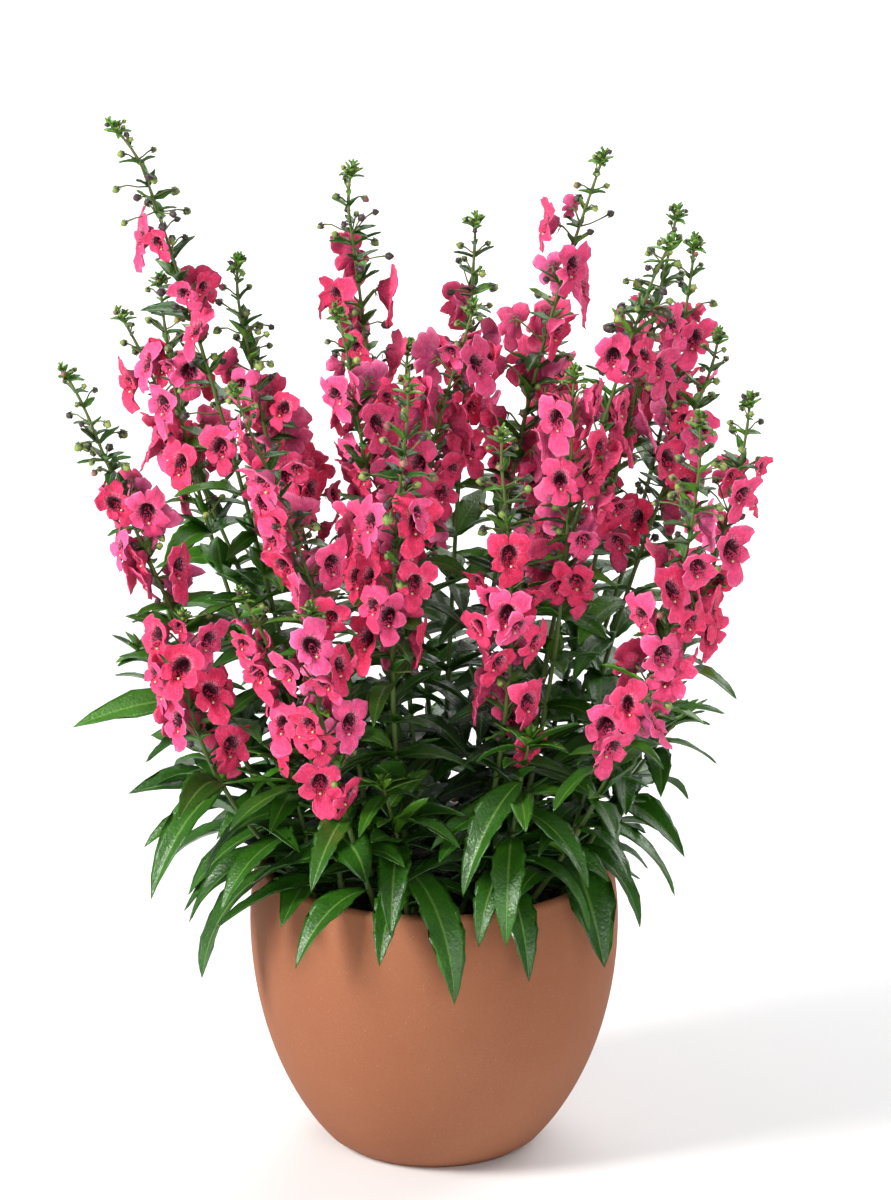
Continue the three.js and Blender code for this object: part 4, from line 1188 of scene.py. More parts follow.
def add_spike_greens(greens, shoot):
    """What a spike bears besides its blooms: buds at the upper nodes, a bract at each node, small
    leaves and buds between the nodes, and seed capsules. A bract that would stand too near
    another piece is shorter, and what lies between the nodes grows only where it stands clear."""
    owner = "spike-" + shoot["number"]
    drawn = {(bract["face"], round(bract["down"])) for bract in shoot["bracts"]}
    for node in shoot["nodes"]:
        if node["bears"] == "leaf":
            continue
        rank = node["rank"]
        root = finer_root(shoot, node["down"])
        low = finer_root(shoot, node["down"] + 1.6)
        for half in PAIR:
            turn = node["turn"] + half + loose.uniform(-25, 25)
            if node["bears"] == "bud":
                length = grown(rank, *BUD_STALK) * loose.uniform(0.8, 1.35)
                rise = grown(rank, *BUD_RISE) + loose.uniform(-14, 14)
                size = grown(rank, *BUD_SIZE) * loose.uniform(0.85, 1.2)
                add_bud(greens, root, turn, rise, length, size, loose.uniform(0.2, 1))
            face = face_towards(shoot["stem"], node["turn"] + half)
            if (face, round(node["down"] + 2 * SPROUT_HALF)) in drawn:
                continue
            length = grown(rank, *BRACT_LENGTH) * loose.uniform(0.75, 1.2)
            rise, droop = loose.uniform(22, 58), loose.uniform(-10, 60)
            leaf = free_leaf(low, turn, rise, length, FINE_BRACT_WIDTH, droop, loose.uniform(-35, 35))
            if not leaf_is_clear(owner, leaf, BRACT_CLEAR):
                leaf = free_leaf(low, turn, rise, SHORTENED * length, FINE_BRACT_WIDTH, droop)
            add_leaf(greens, leaf, loose.uniform(0.1, 0.8), BRACT_STATIONS, 2, 0.16)
        if rank < BETWEEN_FROM:
            continue
        between = finer_root(shoot, node["down"] + loose.uniform(5, 11))
        for half in (45, 135, 225, 315):
            turn = node["turn"] + half + loose.uniform(-25, 25)
            length = grown(rank, *SMALL_LEAF_LENGTH) * loose.uniform(0.6, 1.25)
            rise, droop = loose.uniform(0, 65), loose.uniform(0, 50)
            leaf = free_leaf(between, turn, rise, length, SMALL_LEAF_WIDTH, droop)
            if leaf_is_clear(owner, leaf, SMALL_LEAF_CLEAR) and loose.uniform() < SMALL_LEAF_SHARE:
                add_leaf(greens, leaf, loose.uniform(0, 0.6), BRACT_STATIONS, 1, 0.16)
            rise, length = loose.uniform(-10, 55), loose.uniform(7, 18)
            spot = between + heading(turn + 45, rise) * (length + np.array([[0], [4]]))
            if loose.uniform() < BUD_SHARE and is_clear(owner, spot, "more", BUD_CLEAR):
                size, tone = loose.uniform(1.5, 2.2), loose.uniform(0, 1)
                add_bud(greens, between, turn + 45, rise, length, size, tone)
    for bare in shoot["bare"]:
        add_capsule(greens, bare)
    for bract in shoot["bracts"]:
        add_leaf(greens, bract, 0.45, BRACT_STATIONS, 3, 0.2)


# Tufts of young leaves: how far up the stem they start and from where on all of them grow, and
# the range of their lengths in the axils and between the pairs
TUFTS_FROM = 35
TUFTS_ALL = 130
AXIL_LENGTHS = (12, 34)
BETWEEN_LENGTHS = (20, 40)
TUFT_WIDTH = 0.155


def add_side_tufts(greens, shoot):
    """Young leaves in the axils of a stem's leaves, and between the pairs: steep and half grown.
    Each grows only where it stands clear."""
    nodes = [node for node in shoot["nodes"] if node["bears"] == "leaf"]
    rows = [(node["down"] - 1.5, node["turn"], AXIL_LENGTHS) for node in nodes]
    for a, b in zip(nodes, nodes[1:]):
        rows.append(((a["down"] + b["down"]) / 2, a["turn"] + 45, BETWEEN_LENGTHS))
    for down, turn, (low, high) in rows:
        height = shoot["stem"]["length"] - down
        if height < TUFTS_FROM:
            continue
        root = finer_root(shoot, down)
        share = min(1, height / TUFTS_ALL)
        for half in PAIR:
            for side in (-1, 1):
                if loose.uniform() > share:
                    continue
                length = loose.uniform(0.75 * low, high)
                aside = turn + half + side * loose.uniform(12, 38)
                rise, droop = loose.uniform(15, 65), loose.uniform(10, 60)
                leaf = free_leaf(root, aside, rise, length, TUFT_WIDTH, droop, loose.uniform(-30, 30))
                if leaf_is_clear(owner_at(shoot, down), leaf, SMALL_LEAF_CLEAR):
                    add_leaf(greens, leaf, loose.uniform(0.1, 0.75), BRACT_STATIONS, 2, 0.16)


# The finer stem's radius as a share of the solid one's, and how much thicker it is at a node,
# within this far of it
STEM_SHARE = 0.74
NODE_SWELLS = 0.28
NODE_REACH = 2.2


def add_stem(greens, shoot):
    """The stem: a round tube on the shoot's line, a little thicker at each node, down into the
    soil. The place along it runs from its foot to its tip."""
    stem = shoot["stem"]
    steps = max(12, int(stem["length"] / 5))
    t = np.concatenate([[-0.05], np.linspace(0, 1, steps + 1)])
    down = (1 - t) * stem["length"]
    line = stem_at(stem, t) + nodding(shoot, down)
    nodes = np.array([node["down"] for node in shoot["nodes"]])
    near = np.abs(down[:, None] - nodes).min(axis=1)
    radius = STEM_SHARE * stem_radius(t) * (1 + NODE_SWELLS * np.exp(-((near / NODE_REACH) ** 2)))
    add_tube(greens, line, radius, 9, STALK, tone=0.0, along=t)


# The pot: points round it, the foot's radius and its rounded edge beside and above that, the
# heights of the ellipse's lowest two rows, the rows of points up the outside, over the lip and
# down the inside, the arc of the lip, how far the foot of the inner wall is rounded up and in, and
# the share by which the pot is out of round
POT_STEPS = 144
POT_FOOT = 48
FOOT_EDGE = ((-1.5, 0.0), (0, 0.25), (1.6, 1.6))
FOOT_ROUNDING = 5
OUTER_FROM = 9
OUTER_ROWS = 34
LIP_ROWS = 9
LIP_ARC = (18, 162)
INNER_ROWS = 18
COVE_UP = 4
COVE_IN = 3
OUT_OF_ROUND = 0.0022

# The soil: points round it, rows of points, the gap to the pot, the radius of its mound, and the
# height, size and draw of its lumps. Then the bits of bark that lie on it.
SOIL_STEPS = 120
SOIL_ROWS = 34
SOIL_GAP = 0.5
MOUND_RADIUS = 82
LUMPS = ((0.7, 16, 5), (0.35, 5, 6))
CRUMBS = 620
CRUMB_SIZES = (0.8, 2.6)


def lathe_rings(profile, steps):
    """Rings of a turned shape: each point of the profile, a radius and a height, goes round."""
    turn = 2 * math.pi * np.arange(steps) / steps
    profile = np.asarray(profile, float)
    radius, height = profile[:, :1], profile[:, 1:]
    flat = [radius * np.cos(turn), radius * np.sin(turn), np.broadcast_to(height, (len(profile), steps))]
    return np.stack(flat, axis=2)


def pot_profile():
    """The pot's section: up the outer ellipse, over the rounded lip and down the inner wall."""
    outside = [(POT_FOOT + beside, above) for beside, above in FOOT_EDGE]
    half = POT_WALL / 2
    heights = np.concatenate([[FOOT_ROUNDING], np.linspace(OUTER_FROM, RIM_HEIGHT - half, OUTER_ROWS)])
    outside += [(float(pot_radius(z)), z) for z in heights]
    middle = float(pot_radius(RIM_HEIGHT - half)) - half
    turns = np.radians(np.linspace(*LIP_ARC, LIP_ROWS))
    lip = [(middle + half * math.cos(a), RIM_HEIGHT - half + half * math.sin(a)) for a in turns]
    heights = np.linspace(RIM_HEIGHT - half, POT_FLOOR + COVE_UP, INNER_ROWS)
    inside = [(float(pot_radius(z)) - POT_WALL, z) for z in heights]
    inside += [(float(pot_radius(POT_FLOOR)) - POT_WALL - COVE_IN, POT_FLOOR)]
    return outside + lip + inside


def make_pot(finish):
    """The pot is turned from its section, is out of round by a fifth of a millimetre at most, as a
    pressed pot is, and has three round drain holes cut through its floor."""
    rings = lathe_rings(pot_profile(), POT_STEPS)
    turn = np.arctan2(rings[..., 1], rings[..., 0])
    height = rings[..., 2]
    wave = 1 + OUT_OF_ROUND * np.sin(3 * turn + 0.021 * height) * np.sin(height * math.pi / RIM_HEIGHT)
    rings[..., :2] *= wave[..., None]
    piece = new_piece()
    add_shell(piece, rings, np.array([0, 0, 0.0]), np.array([0, 0, float(POT_FLOOR)]))
    pot = make_object("terracotta-pot", piece, [finish], "pot", "pot")
    cutter = new_piece()
    for k in range(DRAIN_HOLES):
        x, y, _ = heading(360 / DRAIN_HOLES * k + 90, 0) * DRAIN_OFFSET
        line = np.array([[x, y, -3.0], [x, y, POT_FLOOR + 3.0]])
        add_tube(cutter, line, DRAIN_RADIUS, 24, 0)
    holes = make_object("drain-holes", cutter, [finish], "pot")
    cut = pot.modifiers.new("drain", "BOOLEAN")
    cut.operation = "DIFFERENCE"
    cut.object = holes
    cut.solver = "EXACT"
    depsgraph = bpy.context.evaluated_depsgraph_get()
    bored = bpy.data.meshes.new_from_object(pot.evaluated_get(depsgraph))
    pot.modifiers.clear()
    pot.data = bored
    bpy.data.objects.remove(holes)


def rough(x, y, size, seed):
    """Uneven ground: the sum of nine slanted sine waves of about one size, with set phases."""
    rule = np.random.default_rng(seed)
    total = 0
    for _ in range(9):
        turn, phase = rule.uniform(0, 2 * math.pi, 2)
        pace = 2 * math.pi / (size * rule.uniform(0.6, 1.6))
        total = total + np.sin(pace * (x * math.cos(turn) + y * math.sin(turn)) + phase)
    return total / 3


def soil_height(x, y):
    """The soil's top: a low mound with lumps of two sizes."""
    height = SOIL_TOP + SOIL_MOUND * (1 - (np.hypot(x, y) / MOUND_RADIUS) ** 2)
    for lump, size, seed in LUMPS:
        height = height + lump * rough(x, y, size, seed)
    return height


def make_soil(finish, crumb_finish):
    """Soil that fills the pot to its mound, and the bits of bark that lie on it: flattened
    ten-sided stones of mixed sizes, half sunk."""
    inner = float(pot_radius(SOIL_TOP)) - POT_WALL - SOIL_GAP
    share = np.linspace(0.02, 1, SOIL_ROWS) ** 0.9
    rings = lathe_rings([(inner * s, SOIL_TOP) for s in share], SOIL_STEPS)
    rings[..., 2] = soil_height(rings[..., 0], rings[..., 1])
    heights = (128, 100, 70, 45, 25, POT_FLOOR + SOIL_GAP)
    below = [(float(pot_radius(z)) - POT_WALL - SOIL_GAP, z) for z in heights]
    rings = np.concatenate([rings, lathe_rings(below, SOIL_STEPS)])
    piece = new_piece()
    middle = np.array([0, 0, float(soil_height(0, 0))])
    add_shell(piece, rings, middle, np.array([0, 0, POT_FLOOR + SOIL_GAP]))
    make_object("potting-soil", piece, [finish], "soil", "soil")
    crumbs = new_piece()
    rule = np.random.default_rng(88)
    for _ in range(CRUMBS):
        turn, out = rule.uniform(0, 2 * math.pi), (inner - 4) * math.sqrt(rule.uniform(0, 1))
        x, y = out * math.cos(turn), out * math.sin(turn)
        size = rule.uniform(*CRUMB_SIZES)
        spin = 2 * math.pi * np.arange(5) / 5 + rule.uniform(0, 6)
        ring = np.stack([np.cos(spin) * rule.uniform(1, 1.9), np.sin(spin), 0 * spin], 1)
        ring = ring * size * rule.uniform(0.75, 1.15, (5, 1))
        ring[:, 2] += rule.uniform(-0.3, 0.3, 5) * size
        centre = np.array([x, y, float(soil_height(x, y)) + 0.2 * size])
        rise = np.array([0, 0, 0.62 * size])
        rings = (centre + ring)[None]
        add_shell(crumbs, rings, centre + rise, centre - rise, along=[0.5], tone=rule.uniform(0, 1))
    make_object("bark-crumbs", crumbs, [crumb_finish], "soil")


# Finishes
def new_finish(name):
    """A new material, with its node tree and its shader."""
    material = bpy.data.materials.new(name)
    material.use_nodes = True
    tree = material.node_tree
    tree.nodes.clear()
    shader = tree.nodes.new("ShaderNodeBsdfPrincipled")
    result = tree.nodes.new("ShaderNodeOutputMaterial")
    tree.links.new(shader.outputs["BSDF"], result.inputs["Surface"])
    return material, tree, shader


def add_node(tree, kind, **inputs):
    """A node with its inputs set by name, or by number where the name is _0, _1 or _2: a socket is
    joined and anything else is the input's value."""
    node = tree.nodes.new(kind)
    for name, value in inputs.items():
        socket = node.inputs[int(name[1:])] if name[0] == "_" else node.inputs[name.replace("_", " ")]
        if isinstance(value, bpy.types.NodeSocket):
            tree.links.new(value, socket)
        else:
            socket.default_value = value
    return node


def coordinates(tree):
    """The object's own coordinates, in metres."""
    return tree.nodes.new("ShaderNodeTexCoord").outputs["Object"]


def attribute(tree, name):
    """The node of a value that the mesh holds."""
    node = tree.nodes.new("ShaderNodeAttribute")
    node.attribute_name = name
    return node


def noise(tree, scale, detail=3.0, roughness=0.55, vector=None):
    """Cloudy noise in the object's coordinates, from 0 to 1."""
    vector = vector or coordinates(tree)
    node = add_node(tree, "ShaderNodeTexNoise", Vector=vector, Scale=scale, Detail=detail)
    node.inputs["Roughness"].default_value = roughness
    return node.outputs["Fac"]


# Where a mix node has its share, its two colours and its mixed colour
MIX_INPUTS = (0, 6, 7)
MIX_RESULT = 2


def blend(tree, share, low, high, mode="MIX"):
    """Two colours mixed by a share."""
    node = tree.nodes.new("ShaderNodeMix")
    node.data_type = "RGBA"
    node.blend_type = mode
    for place, value in zip(MIX_INPUTS, (share, low, high)):
        if isinstance(value, bpy.types.NodeSocket):
            tree.links.new(value, node.inputs[place])
        else:
            node.inputs[place].default_value = value
    return node.outputs[MIX_RESULT]


def ramp(tree, value, *stops):
    """Colours or greys along a value: each stop is a place and a colour."""
    node = tree.nodes.new("ShaderNodeValToRGB")
    tree.links.new(value, node.inputs["Fac"])
    spots = node.color_ramp.elements
    while len(spots) < len(stops):
        spots.new(0.5)
    for spot, (place, colour) in zip(spots, stops):
        spot.position = place
        spot.color = colour if len(colour) == 4 else (*colour, 1)
    return node.outputs["Color"]


def calculate(tree, operation, a, b=0.0, c=0.0):
    """One step of arithmetic."""
    node = add_node(tree, "ShaderNodeMath", _0=a, _1=b, _2=c)
    node.operation = operation
    return node.outputs["Value"]


def relief(tree, shader, height, distance, strength=1.0):
    """Bumps of a height in metres on the shader's surface."""
    node = add_node(tree, "ShaderNodeBump", Height=height, Distance=distance, Strength=strength)
    tree.links.new(node.outputs["Normal"], shader.inputs["Normal"])


def grey(value):
    """A grey colour."""
    return (value, value, value, 1)


def set_shader(tree, shader, colour, **values):
    """Joins the colour to the shader, and sets by name the values that are the same all over."""
    tree.links.new(colour, shader.inputs["Base Color"])
    for name, value in values.items():
        shader.inputs[name.replace("_", " ")].default_value = value


def terracotta_finish():
    """Unglazed clay: warm orange brown in soft clouds, paler where salts bloom, with fine grain,
    pinholes and faint turning rings."""
    material, tree, shader = new_finish("terracotta")
    clouds = noise(tree, 14, 4)
    colour = blend(tree, clouds, (0.272, 0.094, 0.043, 1), (0.325, 0.123, 0.059, 1))
    pale = ramp(tree, noise(tree, 5.5, 5, 0.6), (0.5, grey(0)), (0.78, grey(0.35)))
    colour = blend(tree, pale, colour, (0.38, 0.185, 0.11, 1))
    grain = noise(tree, 900, 2, 0.7)
    pits = ramp(tree, grain, (0.3, grey(0.34)), (0.56, grey(0)))
    colour = blend(tree, pits, colour, (0.2, 0.075, 0.04, 1))
    specks = add_node(tree, "ShaderNodeTexVoronoi", Vector=coordinates(tree), Scale=260)
    dots = ramp(tree, specks.outputs["Distance"], (0.05, grey(0.3)), (0.1, grey(0)))
    colour = blend(tree, dots, colour, (0.62, 0.38, 0.27, 1))
    set_shader(tree, shader, colour, Roughness=0.82, Specular_IOR_Level=0.3)
    stretched = add_node(tree, "ShaderNodeMapping", Vector=coordinates(tree), Scale=(2, 2, 160))
    rings = noise(tree, 1.5, 2, vector=stretched.outputs["Vector"])
    height = calculate(tree, "MULTIPLY_ADD", grain, 0.5, rings)
    relief(tree, shader, height, 0.0005, 0.35)
    return material


def soil_finish():
    """Dark damp potting mix: two browns in grains of two sizes."""
    material, tree, shader = new_finish("potting mix")
    grains = noise(tree, 260, 6, 0.7)
    colour = ramp(tree, grains, (0.3, (0.008, 0.005, 0.003)), (0.62, (0.05, 0.03, 0.018)))
    set_shader(tree, shader, colour, Roughness=0.95)
    relief(tree, shader, grains, 0.003, 0.9)
    return material


def crumb_finish():
    """Bits of bark: from black brown to a dull tan, each with its own tone."""
    material, tree, shader = new_finish("bark crumbs")
    tone = attribute(tree, "tone").outputs["Fac"]
    stops = (0.0, (0.012, 0.007, 0.004)), (0.7, (0.06, 0.032, 0.017)), (1.0, (0.16, 0.1, 0.06))
    colour = ramp(tree, tone, *stops)
    colour = blend(tree, noise(tree, 500, 3), colour, (0.02, 0.012, 0.008, 1), "MULTIPLY")
    set_shader(tree, shader, colour, Roughness=0.9)
    return material


def leaf_finish():
    """Glossy green blade: deep green for old leaves and yellow green for young ones, with painted
    shade that darkens it deep inside the plant, a pale midrib, faint side veins, pale specks and a pimpled
    surface."""
    material, tree, shader = new_finish("leaf")
    place = attribute(tree, "place").outputs["Vector"]
    tone = attribute(tree, "tone").outputs["Fac"]
    parts = add_node(tree, "ShaderNodeSeparateXYZ", Vector=place)
    along, across = parts.outputs["X"], calculate(tree, "ABSOLUTE", parts.outputs["Y"])
    stops = (0.0, (0.005, 0.036, 0.001)), (0.5, (0.026, 0.118, 0.004)), (1.0, (0.13, 0.31, 0.02))
    colour = ramp(tree, tone, *stops)
    mottle = ramp(tree, noise(tree, 60, 3), (0.3, grey(0.7)), (0.7, grey(1.3)))
    colour = blend(tree, 1.0, colour, mottle, "MULTIPLY")
    # Painted shade: the colour darkens towards a point low in the middle of the plant, where shade falls
    # among the leaves.
    ball = add_node(tree, "ShaderNodeMapping", Vector=coordinates(tree), Scale=(11, 11, 7))
    ball.inputs["Location"].default_value = (0, 0, -1.4)
    depth = add_node(tree, "ShaderNodeTexGradient", Vector=ball.outputs["Vector"])
    depth.gradient_type = "SPHERICAL"
    shade = ramp(tree, depth.outputs["Fac"], (0.0, grey(1)), (0.45, grey(0.4)))
    colour = blend(tree, 1.0, colour, shade, "MULTIPLY")
    slant = calculate(tree, "MULTIPLY_ADD", across, -0.16, along)
    stripe = calculate(tree, "SINE", calculate(tree, "MULTIPLY", slant, 88.0))
    vein = ramp(tree, stripe, (0.86, grey(0)), (1.0, grey(0.12)))
    colour = blend(tree, vein, colour, (0.1, 0.22, 0.04, 1))
    rib = ramp(tree, across, (0.02, grey(0.6)), (0.1, grey(0)))
    colour = blend(tree, rib, colour, (0.16, 0.3, 0.06, 1))
    speck = ramp(tree, noise(tree, 1500, 2, 0.8), (0.62, grey(0)), (0.78, grey(0.35)))
    colour = blend(tree, speck, colour, (0.2, 0.33, 0.12, 1))
    set_shader(
        tree,
        shader,
        colour,
        Specular_IOR_Level=0.5,
        Subsurface_Weight=0.05,
        Subsurface_Radius=(0.0006, 0.0012, 0.0003),
        Subsurface_Scale=1.0,
    )
    gloss = ramp(tree, noise(tree, 300, 3), (0.35, grey(0.3)), (0.7, grey(0.5)))
    tree.links.new(gloss, shader.inputs["Roughness"])
    furrow = calculate(tree, "MULTIPLY", stripe, -0.08)
    cells = add_node(tree, "ShaderNodeTexVoronoi", Vector=coordinates(tree), Scale=620.0)
    pebbles = calculate(tree, "MULTIPLY_ADD", cells.outputs["Distance"], -0.7, furrow)
    height = calculate(tree, "MULTIPLY_ADD", noise(tree, 1100, 3), 0.5, pebbles)
    relief(tree, shader, height, 0.0006, 0.42)
    return material


def stalk_finish():
    """Stems and stalks: olive green, purple brown in streaks up the spike, finely hairy."""
    material, tree, shader = new_finish("stalk")
    tone = attribute(tree, "tone").outputs["Fac"]
    parts = add_node(tree, "ShaderNodeSeparateXYZ", Vector=attribute(tree, "place").outputs["Vector"])
    high = calculate(tree, "MULTIPLY", parts.outputs["X"], 0.7)
    share = calculate(tree, "MAXIMUM", high, tone)
    lowered = calculate(tree, "SUBTRACT", share, 0.75)
    streak = calculate(tree, "MULTIPLY_ADD", noise(tree, 70, 3), 0.9, lowered)
    stops = (0.2, (0.07, 0.12, 0.018)), (0.5, (0.12, 0.135, 0.03)), (0.85, (0.075, 0.03, 0.03))
    colour = ramp(tree, streak, *stops)
    set_shader(tree, shader, colour, Roughness=0.6, Sheen_Weight=0.04)
    relief(tree, shader, noise(tree, 1400, 2), 0.0003, 0.5)
    return material


def calyx_finish():
    """Sepals: dark purple green where their tone is low, and yellow green where it is high."""
    material, tree, shader = new_finish("calyx")
    tone = attribute(tree, "tone").outputs["Fac"]
    clouds = noise(tree, 400, 2)
    dark = ramp(tree, clouds, (0.3, (0.03, 0.05, 0.018)), (0.62, (0.035, 0.012, 0.022)))
    fresh = ramp(tree, clouds, (0.3, (0.05, 0.1, 0.015)), (0.62, (0.14, 0.2, 0.03)))
    share = ramp(tree, tone, (0.45, grey(0)), (0.55, grey(1)))
    set_shader(tree, shader, blend(tree, share, dark, fresh), Roughness=0.55, Sheen_Weight=0.1)
    return material


def bud_finish():
    """Buds, each by its tone: pale yellow green at their points and dark purple green below, or
    dark all over, or flushed with rose."""
    material, tree, shader = new_finish("bud")
    tone = attribute(tree, "tone").outputs["Fac"]
    parts = add_node(tree, "ShaderNodeSeparateXYZ", Vector=attribute(tree, "place").outputs["Vector"])
    dark = (0.035, 0.035, 0.022, 1)
    point = ramp(
        tree,
        tone,
        (0.3, (0.06, 0.03, 0.035)),
        (0.4, (0.2, 0.3, 0.05)),
        (0.75, (0.3, 0.36, 0.08)),
        (0.8, (0.34, 0.06, 0.11)),
        (0.88, (0.2, 0.3, 0.05)),
    )
    share = ramp(tree, parts.outputs["X"], (0.2, grey(0)), (0.6, grey(1)))
    colour = blend(tree, share, dark, point)
    shade = ramp(tree, noise(tree, 600, 2), (0.3, grey(0.6)), (0.7, grey(1.15)))
    colour = blend(tree, 1.0, colour, shade, "MULTIPLY")
    set_shader(tree, shader, colour, Roughness=0.5, Sheen_Weight=0.05)
    return material


def petal_pink(tree, along, tone, stripe):
    """Coral pink, deeper towards the mouth and paler at the edge, a little different on each bloom,
    in soft clouds, with fine veins and pale painted glints, which are painted highlights."""
    pink = ramp(
        tree,
        along,
        (0.25, (0.68, 0.04, 0.13)),
        (0.33, (0.88, 0.05, 0.165)),
        (0.46, (0.92, 0.07, 0.2)),
        (0.5, (0.92, 0.15, 0.31)),
        (0.6, (0.8, 0.08, 0.21)),
        (0.8, (0.45, 0.04, 0.12)),
    )
    tint = ramp(tree, tone, (0.0, (0.84, 0.5, 0.6)), (0.5, (0.98, 0.9, 0.95)), (1.0, (1.05, 1.7, 1.6)))
    pink = blend(tree, 1.0, pink, tint, "MULTIPLY")
    clouds = ramp(tree, noise(tree, 260, 4, 0.65), (0.3, grey(0.68)), (0.72, grey(1.2)))
    pink = blend(tree, 1.0, pink, clouds, "MULTIPLY")
    vein = ramp(tree, stripe, (0.55, grey(0)), (1.0, grey(0.06)))
    pink = blend(tree, vein, pink, (0.45, 0.012, 0.06, 1))
    # Painted highlights: fine pale pink glints scattered over the petals.
    painted_glint = ramp(tree, noise(tree, 1100, 3, 0.8), (0.56, grey(0)), (0.7, grey(0.34)))
    return blend(tree, painted_glint, pink, (0.98, 0.36, 0.52, 1))


def throat_mark(tree, along, beyond, turn):
    """Where a petal's face is maroon: in the cup and out to a torn edge, except at the foot of the
    mouth, and in dots that grow fewer further out."""
    front = calculate(tree, "LESS_THAN", along, 0.52)
    dots = add_node(tree, "ShaderNodeTexVoronoi", Vector=coordinates(tree), Scale=1000.0)
    limit = calculate(tree, "MULTIPLY_ADD", beyond, -0.1, 0.34)
    speckled = calculate(tree, "LESS_THAN", dots.outputs["Distance"], limit)
    edge = calculate(tree, "MULTIPLY_ADD", noise(tree, 500, 3, 0.7), 3.6, -2.1)
    inside = calculate(tree, "LESS_THAN", beyond, edge)
    inside = calculate(tree, "MULTIPLY", inside, calculate(tree, "GREATER_THAN", turn, -0.6))
    return calculate(tree, "MULTIPLY", calculate(tree, "MAXIMUM", inside, speckled), front)


def throat_hairs(tree, along, turn):
    """Where pale hairs line the cup: in a band inside its rim, fading towards its foot."""
    hairs = noise(tree, 1300, 2, 0.8)
    band = ramp(tree, along, (0.1, grey(0)), (0.2, grey(0.9)), (0.275, grey(1)), (0.34, grey(0)))
    upper = calculate(tree, "MULTIPLY_ADD", turn, 0.5, 0.5)
    frost = calculate(tree, "MULTIPLY", ramp(tree, hairs, (0.48, grey(0)), (0.6, grey(0.7))), band)
    return calculate(tree, "MULTIPLY", frost, upper)


def petal_finish():
    """Petals: velvety coral pink with fine veins. The cup is dark maroon, with painted shade that makes it
    near black towards its foot, its edge breaks up into specks, and pale hairs line its upper rim."""
    material, tree, shader = new_finish("petal")
    parts = add_node(tree, "ShaderNodeSeparateXYZ", Vector=attribute(tree, "place").outputs["Vector"])
    along, around, beyond = parts.outputs["X"], parts.outputs["Y"], parts.outputs["Z"]
    tone = attribute(tree, "tone").outputs["Fac"]
    turn = calculate(tree, "COSINE", calculate(tree, "MULTIPLY", around, 2 * math.pi))
    wander = calculate(tree, "MULTIPLY", noise(tree, 300, 2), 4.0)
    stripe = calculate(tree, "SINE", calculate(tree, "MULTIPLY_ADD", around, 290.0, wander))
    # The cup's own maroon at its rim, with painted shade that makes it near black towards its foot.
    depth = ramp(tree, along, (0.05, (0.018, 0.0, 0.003)), (0.28, (0.1, 0.003, 0.018)))
    colour = petal_pink(tree, along, tone, stripe)
    colour = blend(tree, throat_mark(tree, along, beyond, turn), colour, depth)
    colour = blend(tree, throat_hairs(tree, along, turn), colour, (0.7, 0.38, 0.5, 1))
    set_shader(
        tree,
        shader,
        colour,
        Roughness=0.6,
        Specular_IOR_Level=0.2,
        Sheen_Weight=0.04,
        Sheen_Roughness=0.35,
        Sheen_Tint=(1.0, 0.5, 0.66, 1),
        Subsurface_Weight=0.05,
        Subsurface_Radius=(0.002, 0.0005, 0.0007),
        Subsurface_Scale=1.0,
    )
    height = calculate(tree, "MULTIPLY_ADD", stripe, 0.06, noise(tree, 520, 4, 0.7))
    relief(tree, shader, height, 0.0009, 0.7)
    return material


def tooth_finish():
    """The small tooth at the foot of the mouth: waxy pale yellow."""
    material, tree, shader = new_finish("tooth")
    colour = ramp(tree, noise(tree, 900, 2), (0.3, (0.62, 0.5, 0.2)), (0.7, (0.8, 0.72, 0.42)))
    set_shader(tree, shader, colour, Roughness=0.4)
    return material


# The palest tone of a grown leaf, and the height over which the tone rises from 0 to 1
PALEST_LEAF = 0.6
TONE_HEIGHT = 500


def leaf_tone(leaf, least, spread):
    """The tone of a leaf: paler with height, and by a little of its own."""
    height = leaf["root"][2] - SOIL_TOP
    return min(PALEST_LEAF, least + height / TONE_HEIGHT + loose.uniform(0, spread))


def dress_shoot(shoot, green_finishes, bloom_finishes):
    """A shoot's greens and its blooms, which stand for its stem and its spike."""
    greens, blooms = new_piece(), new_piece()
    add_stem(greens, shoot)
    add_tip(greens, shoot)
    for leaf in shoot["leaves"]:
        add_leaf(greens, leaf, leaf_tone(leaf, 0.1, 0.25))
    for leaf in shoot["more_leaves"]:
        add_leaf(greens, leaf, leaf_tone(leaf, 0.05, 0.3), MORE_STATIONS, 3)
    add_side_tufts(greens, shoot)
    add_spike_greens(greens, shoot)
    for bloom in shoot["blooms"]:
        add_bloom(blooms, greens, bloom)
    for bloom in shoot["more_blooms"]:
        add_bloom(blooms, greens, bloom, FEW)
    number = shoot["number"]
    spike = ["spike-" + number] if shoot["spike_foot"] else []
    make_object("greens-" + number, greens, green_finishes, "foliage", "stem-" + number, *spike)
    if shoot["blooms"]:
        make_object("blooms-" + number, blooms, bloom_finishes, "flowers", *spike)


# The plant in its pot
make_pot(terracotta_finish())
make_soil(soil_finish(), crumb_finish())
greens_finishes = [leaf_finish(), stalk_finish(), calyx_finish(), bud_finish()]
blooms_finishes = [petal_finish(), tooth_finish()]
shoots = make_shoots()
nod_tips(shoots)
place_long_leaves(shoots)
for shoot in shoots:
    place_more_blooms(shoot, later=False)
for shoot in shoots:
    place_more_leaves(shoot)
for shoot in shoots:
    place_more_blooms(shoot, later=True)
for shoot in shoots:
    dress_shoot(shoot, greens_finishes, blooms_finishes)


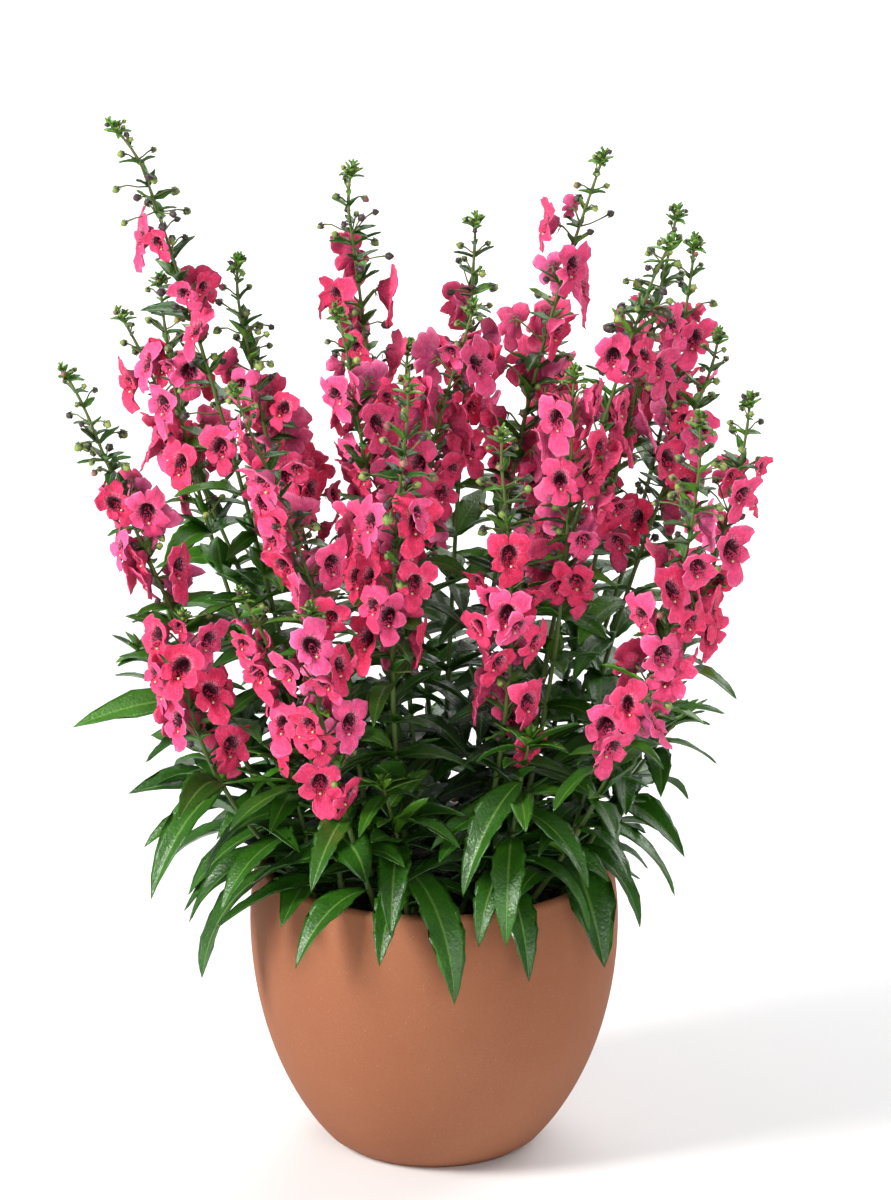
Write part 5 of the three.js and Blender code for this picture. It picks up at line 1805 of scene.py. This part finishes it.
# Floor, light and surroundings, in metres
FLOOR_REACH = 8
PLANT_MIDDLE = (0, 0, 0.27)


def make_floor():
    """A plain pale floor, wide enough to pass out of the picture on every side."""
    mesh = bpy.data.meshes.new("floor")
    reach = FLOOR_REACH
    corners = [(-reach, -reach, 0), (reach, -reach, 0), (reach, reach, 0), (-reach, reach, 0)]
    mesh.from_pydata(corners, [], [(0, 1, 2, 3)])
    floor = bpy.data.objects.new("floor", mesh)
    bpy.context.scene.collection.objects.link(floor)
    material, tree, shader = new_finish("pale floor")
    colour = ramp(tree, noise(tree, 3, 2), (0.0, grey(0.8)), (1.0, grey(0.84)))
    tree.links.new(colour, shader.inputs["Base Color"])
    shader.inputs["Roughness"].default_value = 0.9
    mesh.materials.append(material)


def add_softbox(name, place, size, power, aim=PLANT_MIDDLE, colour=(1, 1, 1)):
    """A square area light that looks at its aim."""
    light = bpy.data.lights.new(name, "AREA")
    light.shape = "SQUARE"
    light.size = size
    light.energy = power
    light.color = colour
    lamp = bpy.data.objects.new(name, light)
    lamp.location = place
    way = np.array(aim) - np.array(place)
    turn = math.atan2(way[1], way[0]) - math.pi / 2
    lamp.rotation_euler = (math.pi / 2 + math.asin(way[2] / np.linalg.norm(way)), 0, turn)
    bpy.context.scene.collection.objects.link(lamp)


def light_room():
    """A softbox high on the left, weaker light from the front and from behind on the right, and
    dim air. One more softbox hangs over the floor behind the plant."""
    add_softbox("key-light", (-2.3, -1.1, 1.8), 1.0, 126, colour=(1.0, 0.985, 0.965))
    add_softbox("fill-light", (0.7, -2.7, 1.3), 1.6, 36)
    add_softbox("back-light", (1.7, 1.2, 1.2), 1.2, 24)
    add_softbox("floor-light", (0.6, 2.1, 1.7), 2.4, 62, aim=(0.6, 1.5, 0))
    world = bpy.data.worlds.new("room")
    world.use_nodes = True
    world.node_tree.nodes["Background"].inputs["Color"].default_value = (0.95, 0.97, 1.0, 1)
    world.node_tree.nodes["Background"].inputs["Strength"].default_value = 0.24
    bpy.context.scene.world = world


make_floor()
light_room()
bpy.context.scene.view_settings.view_transform = "Standard"
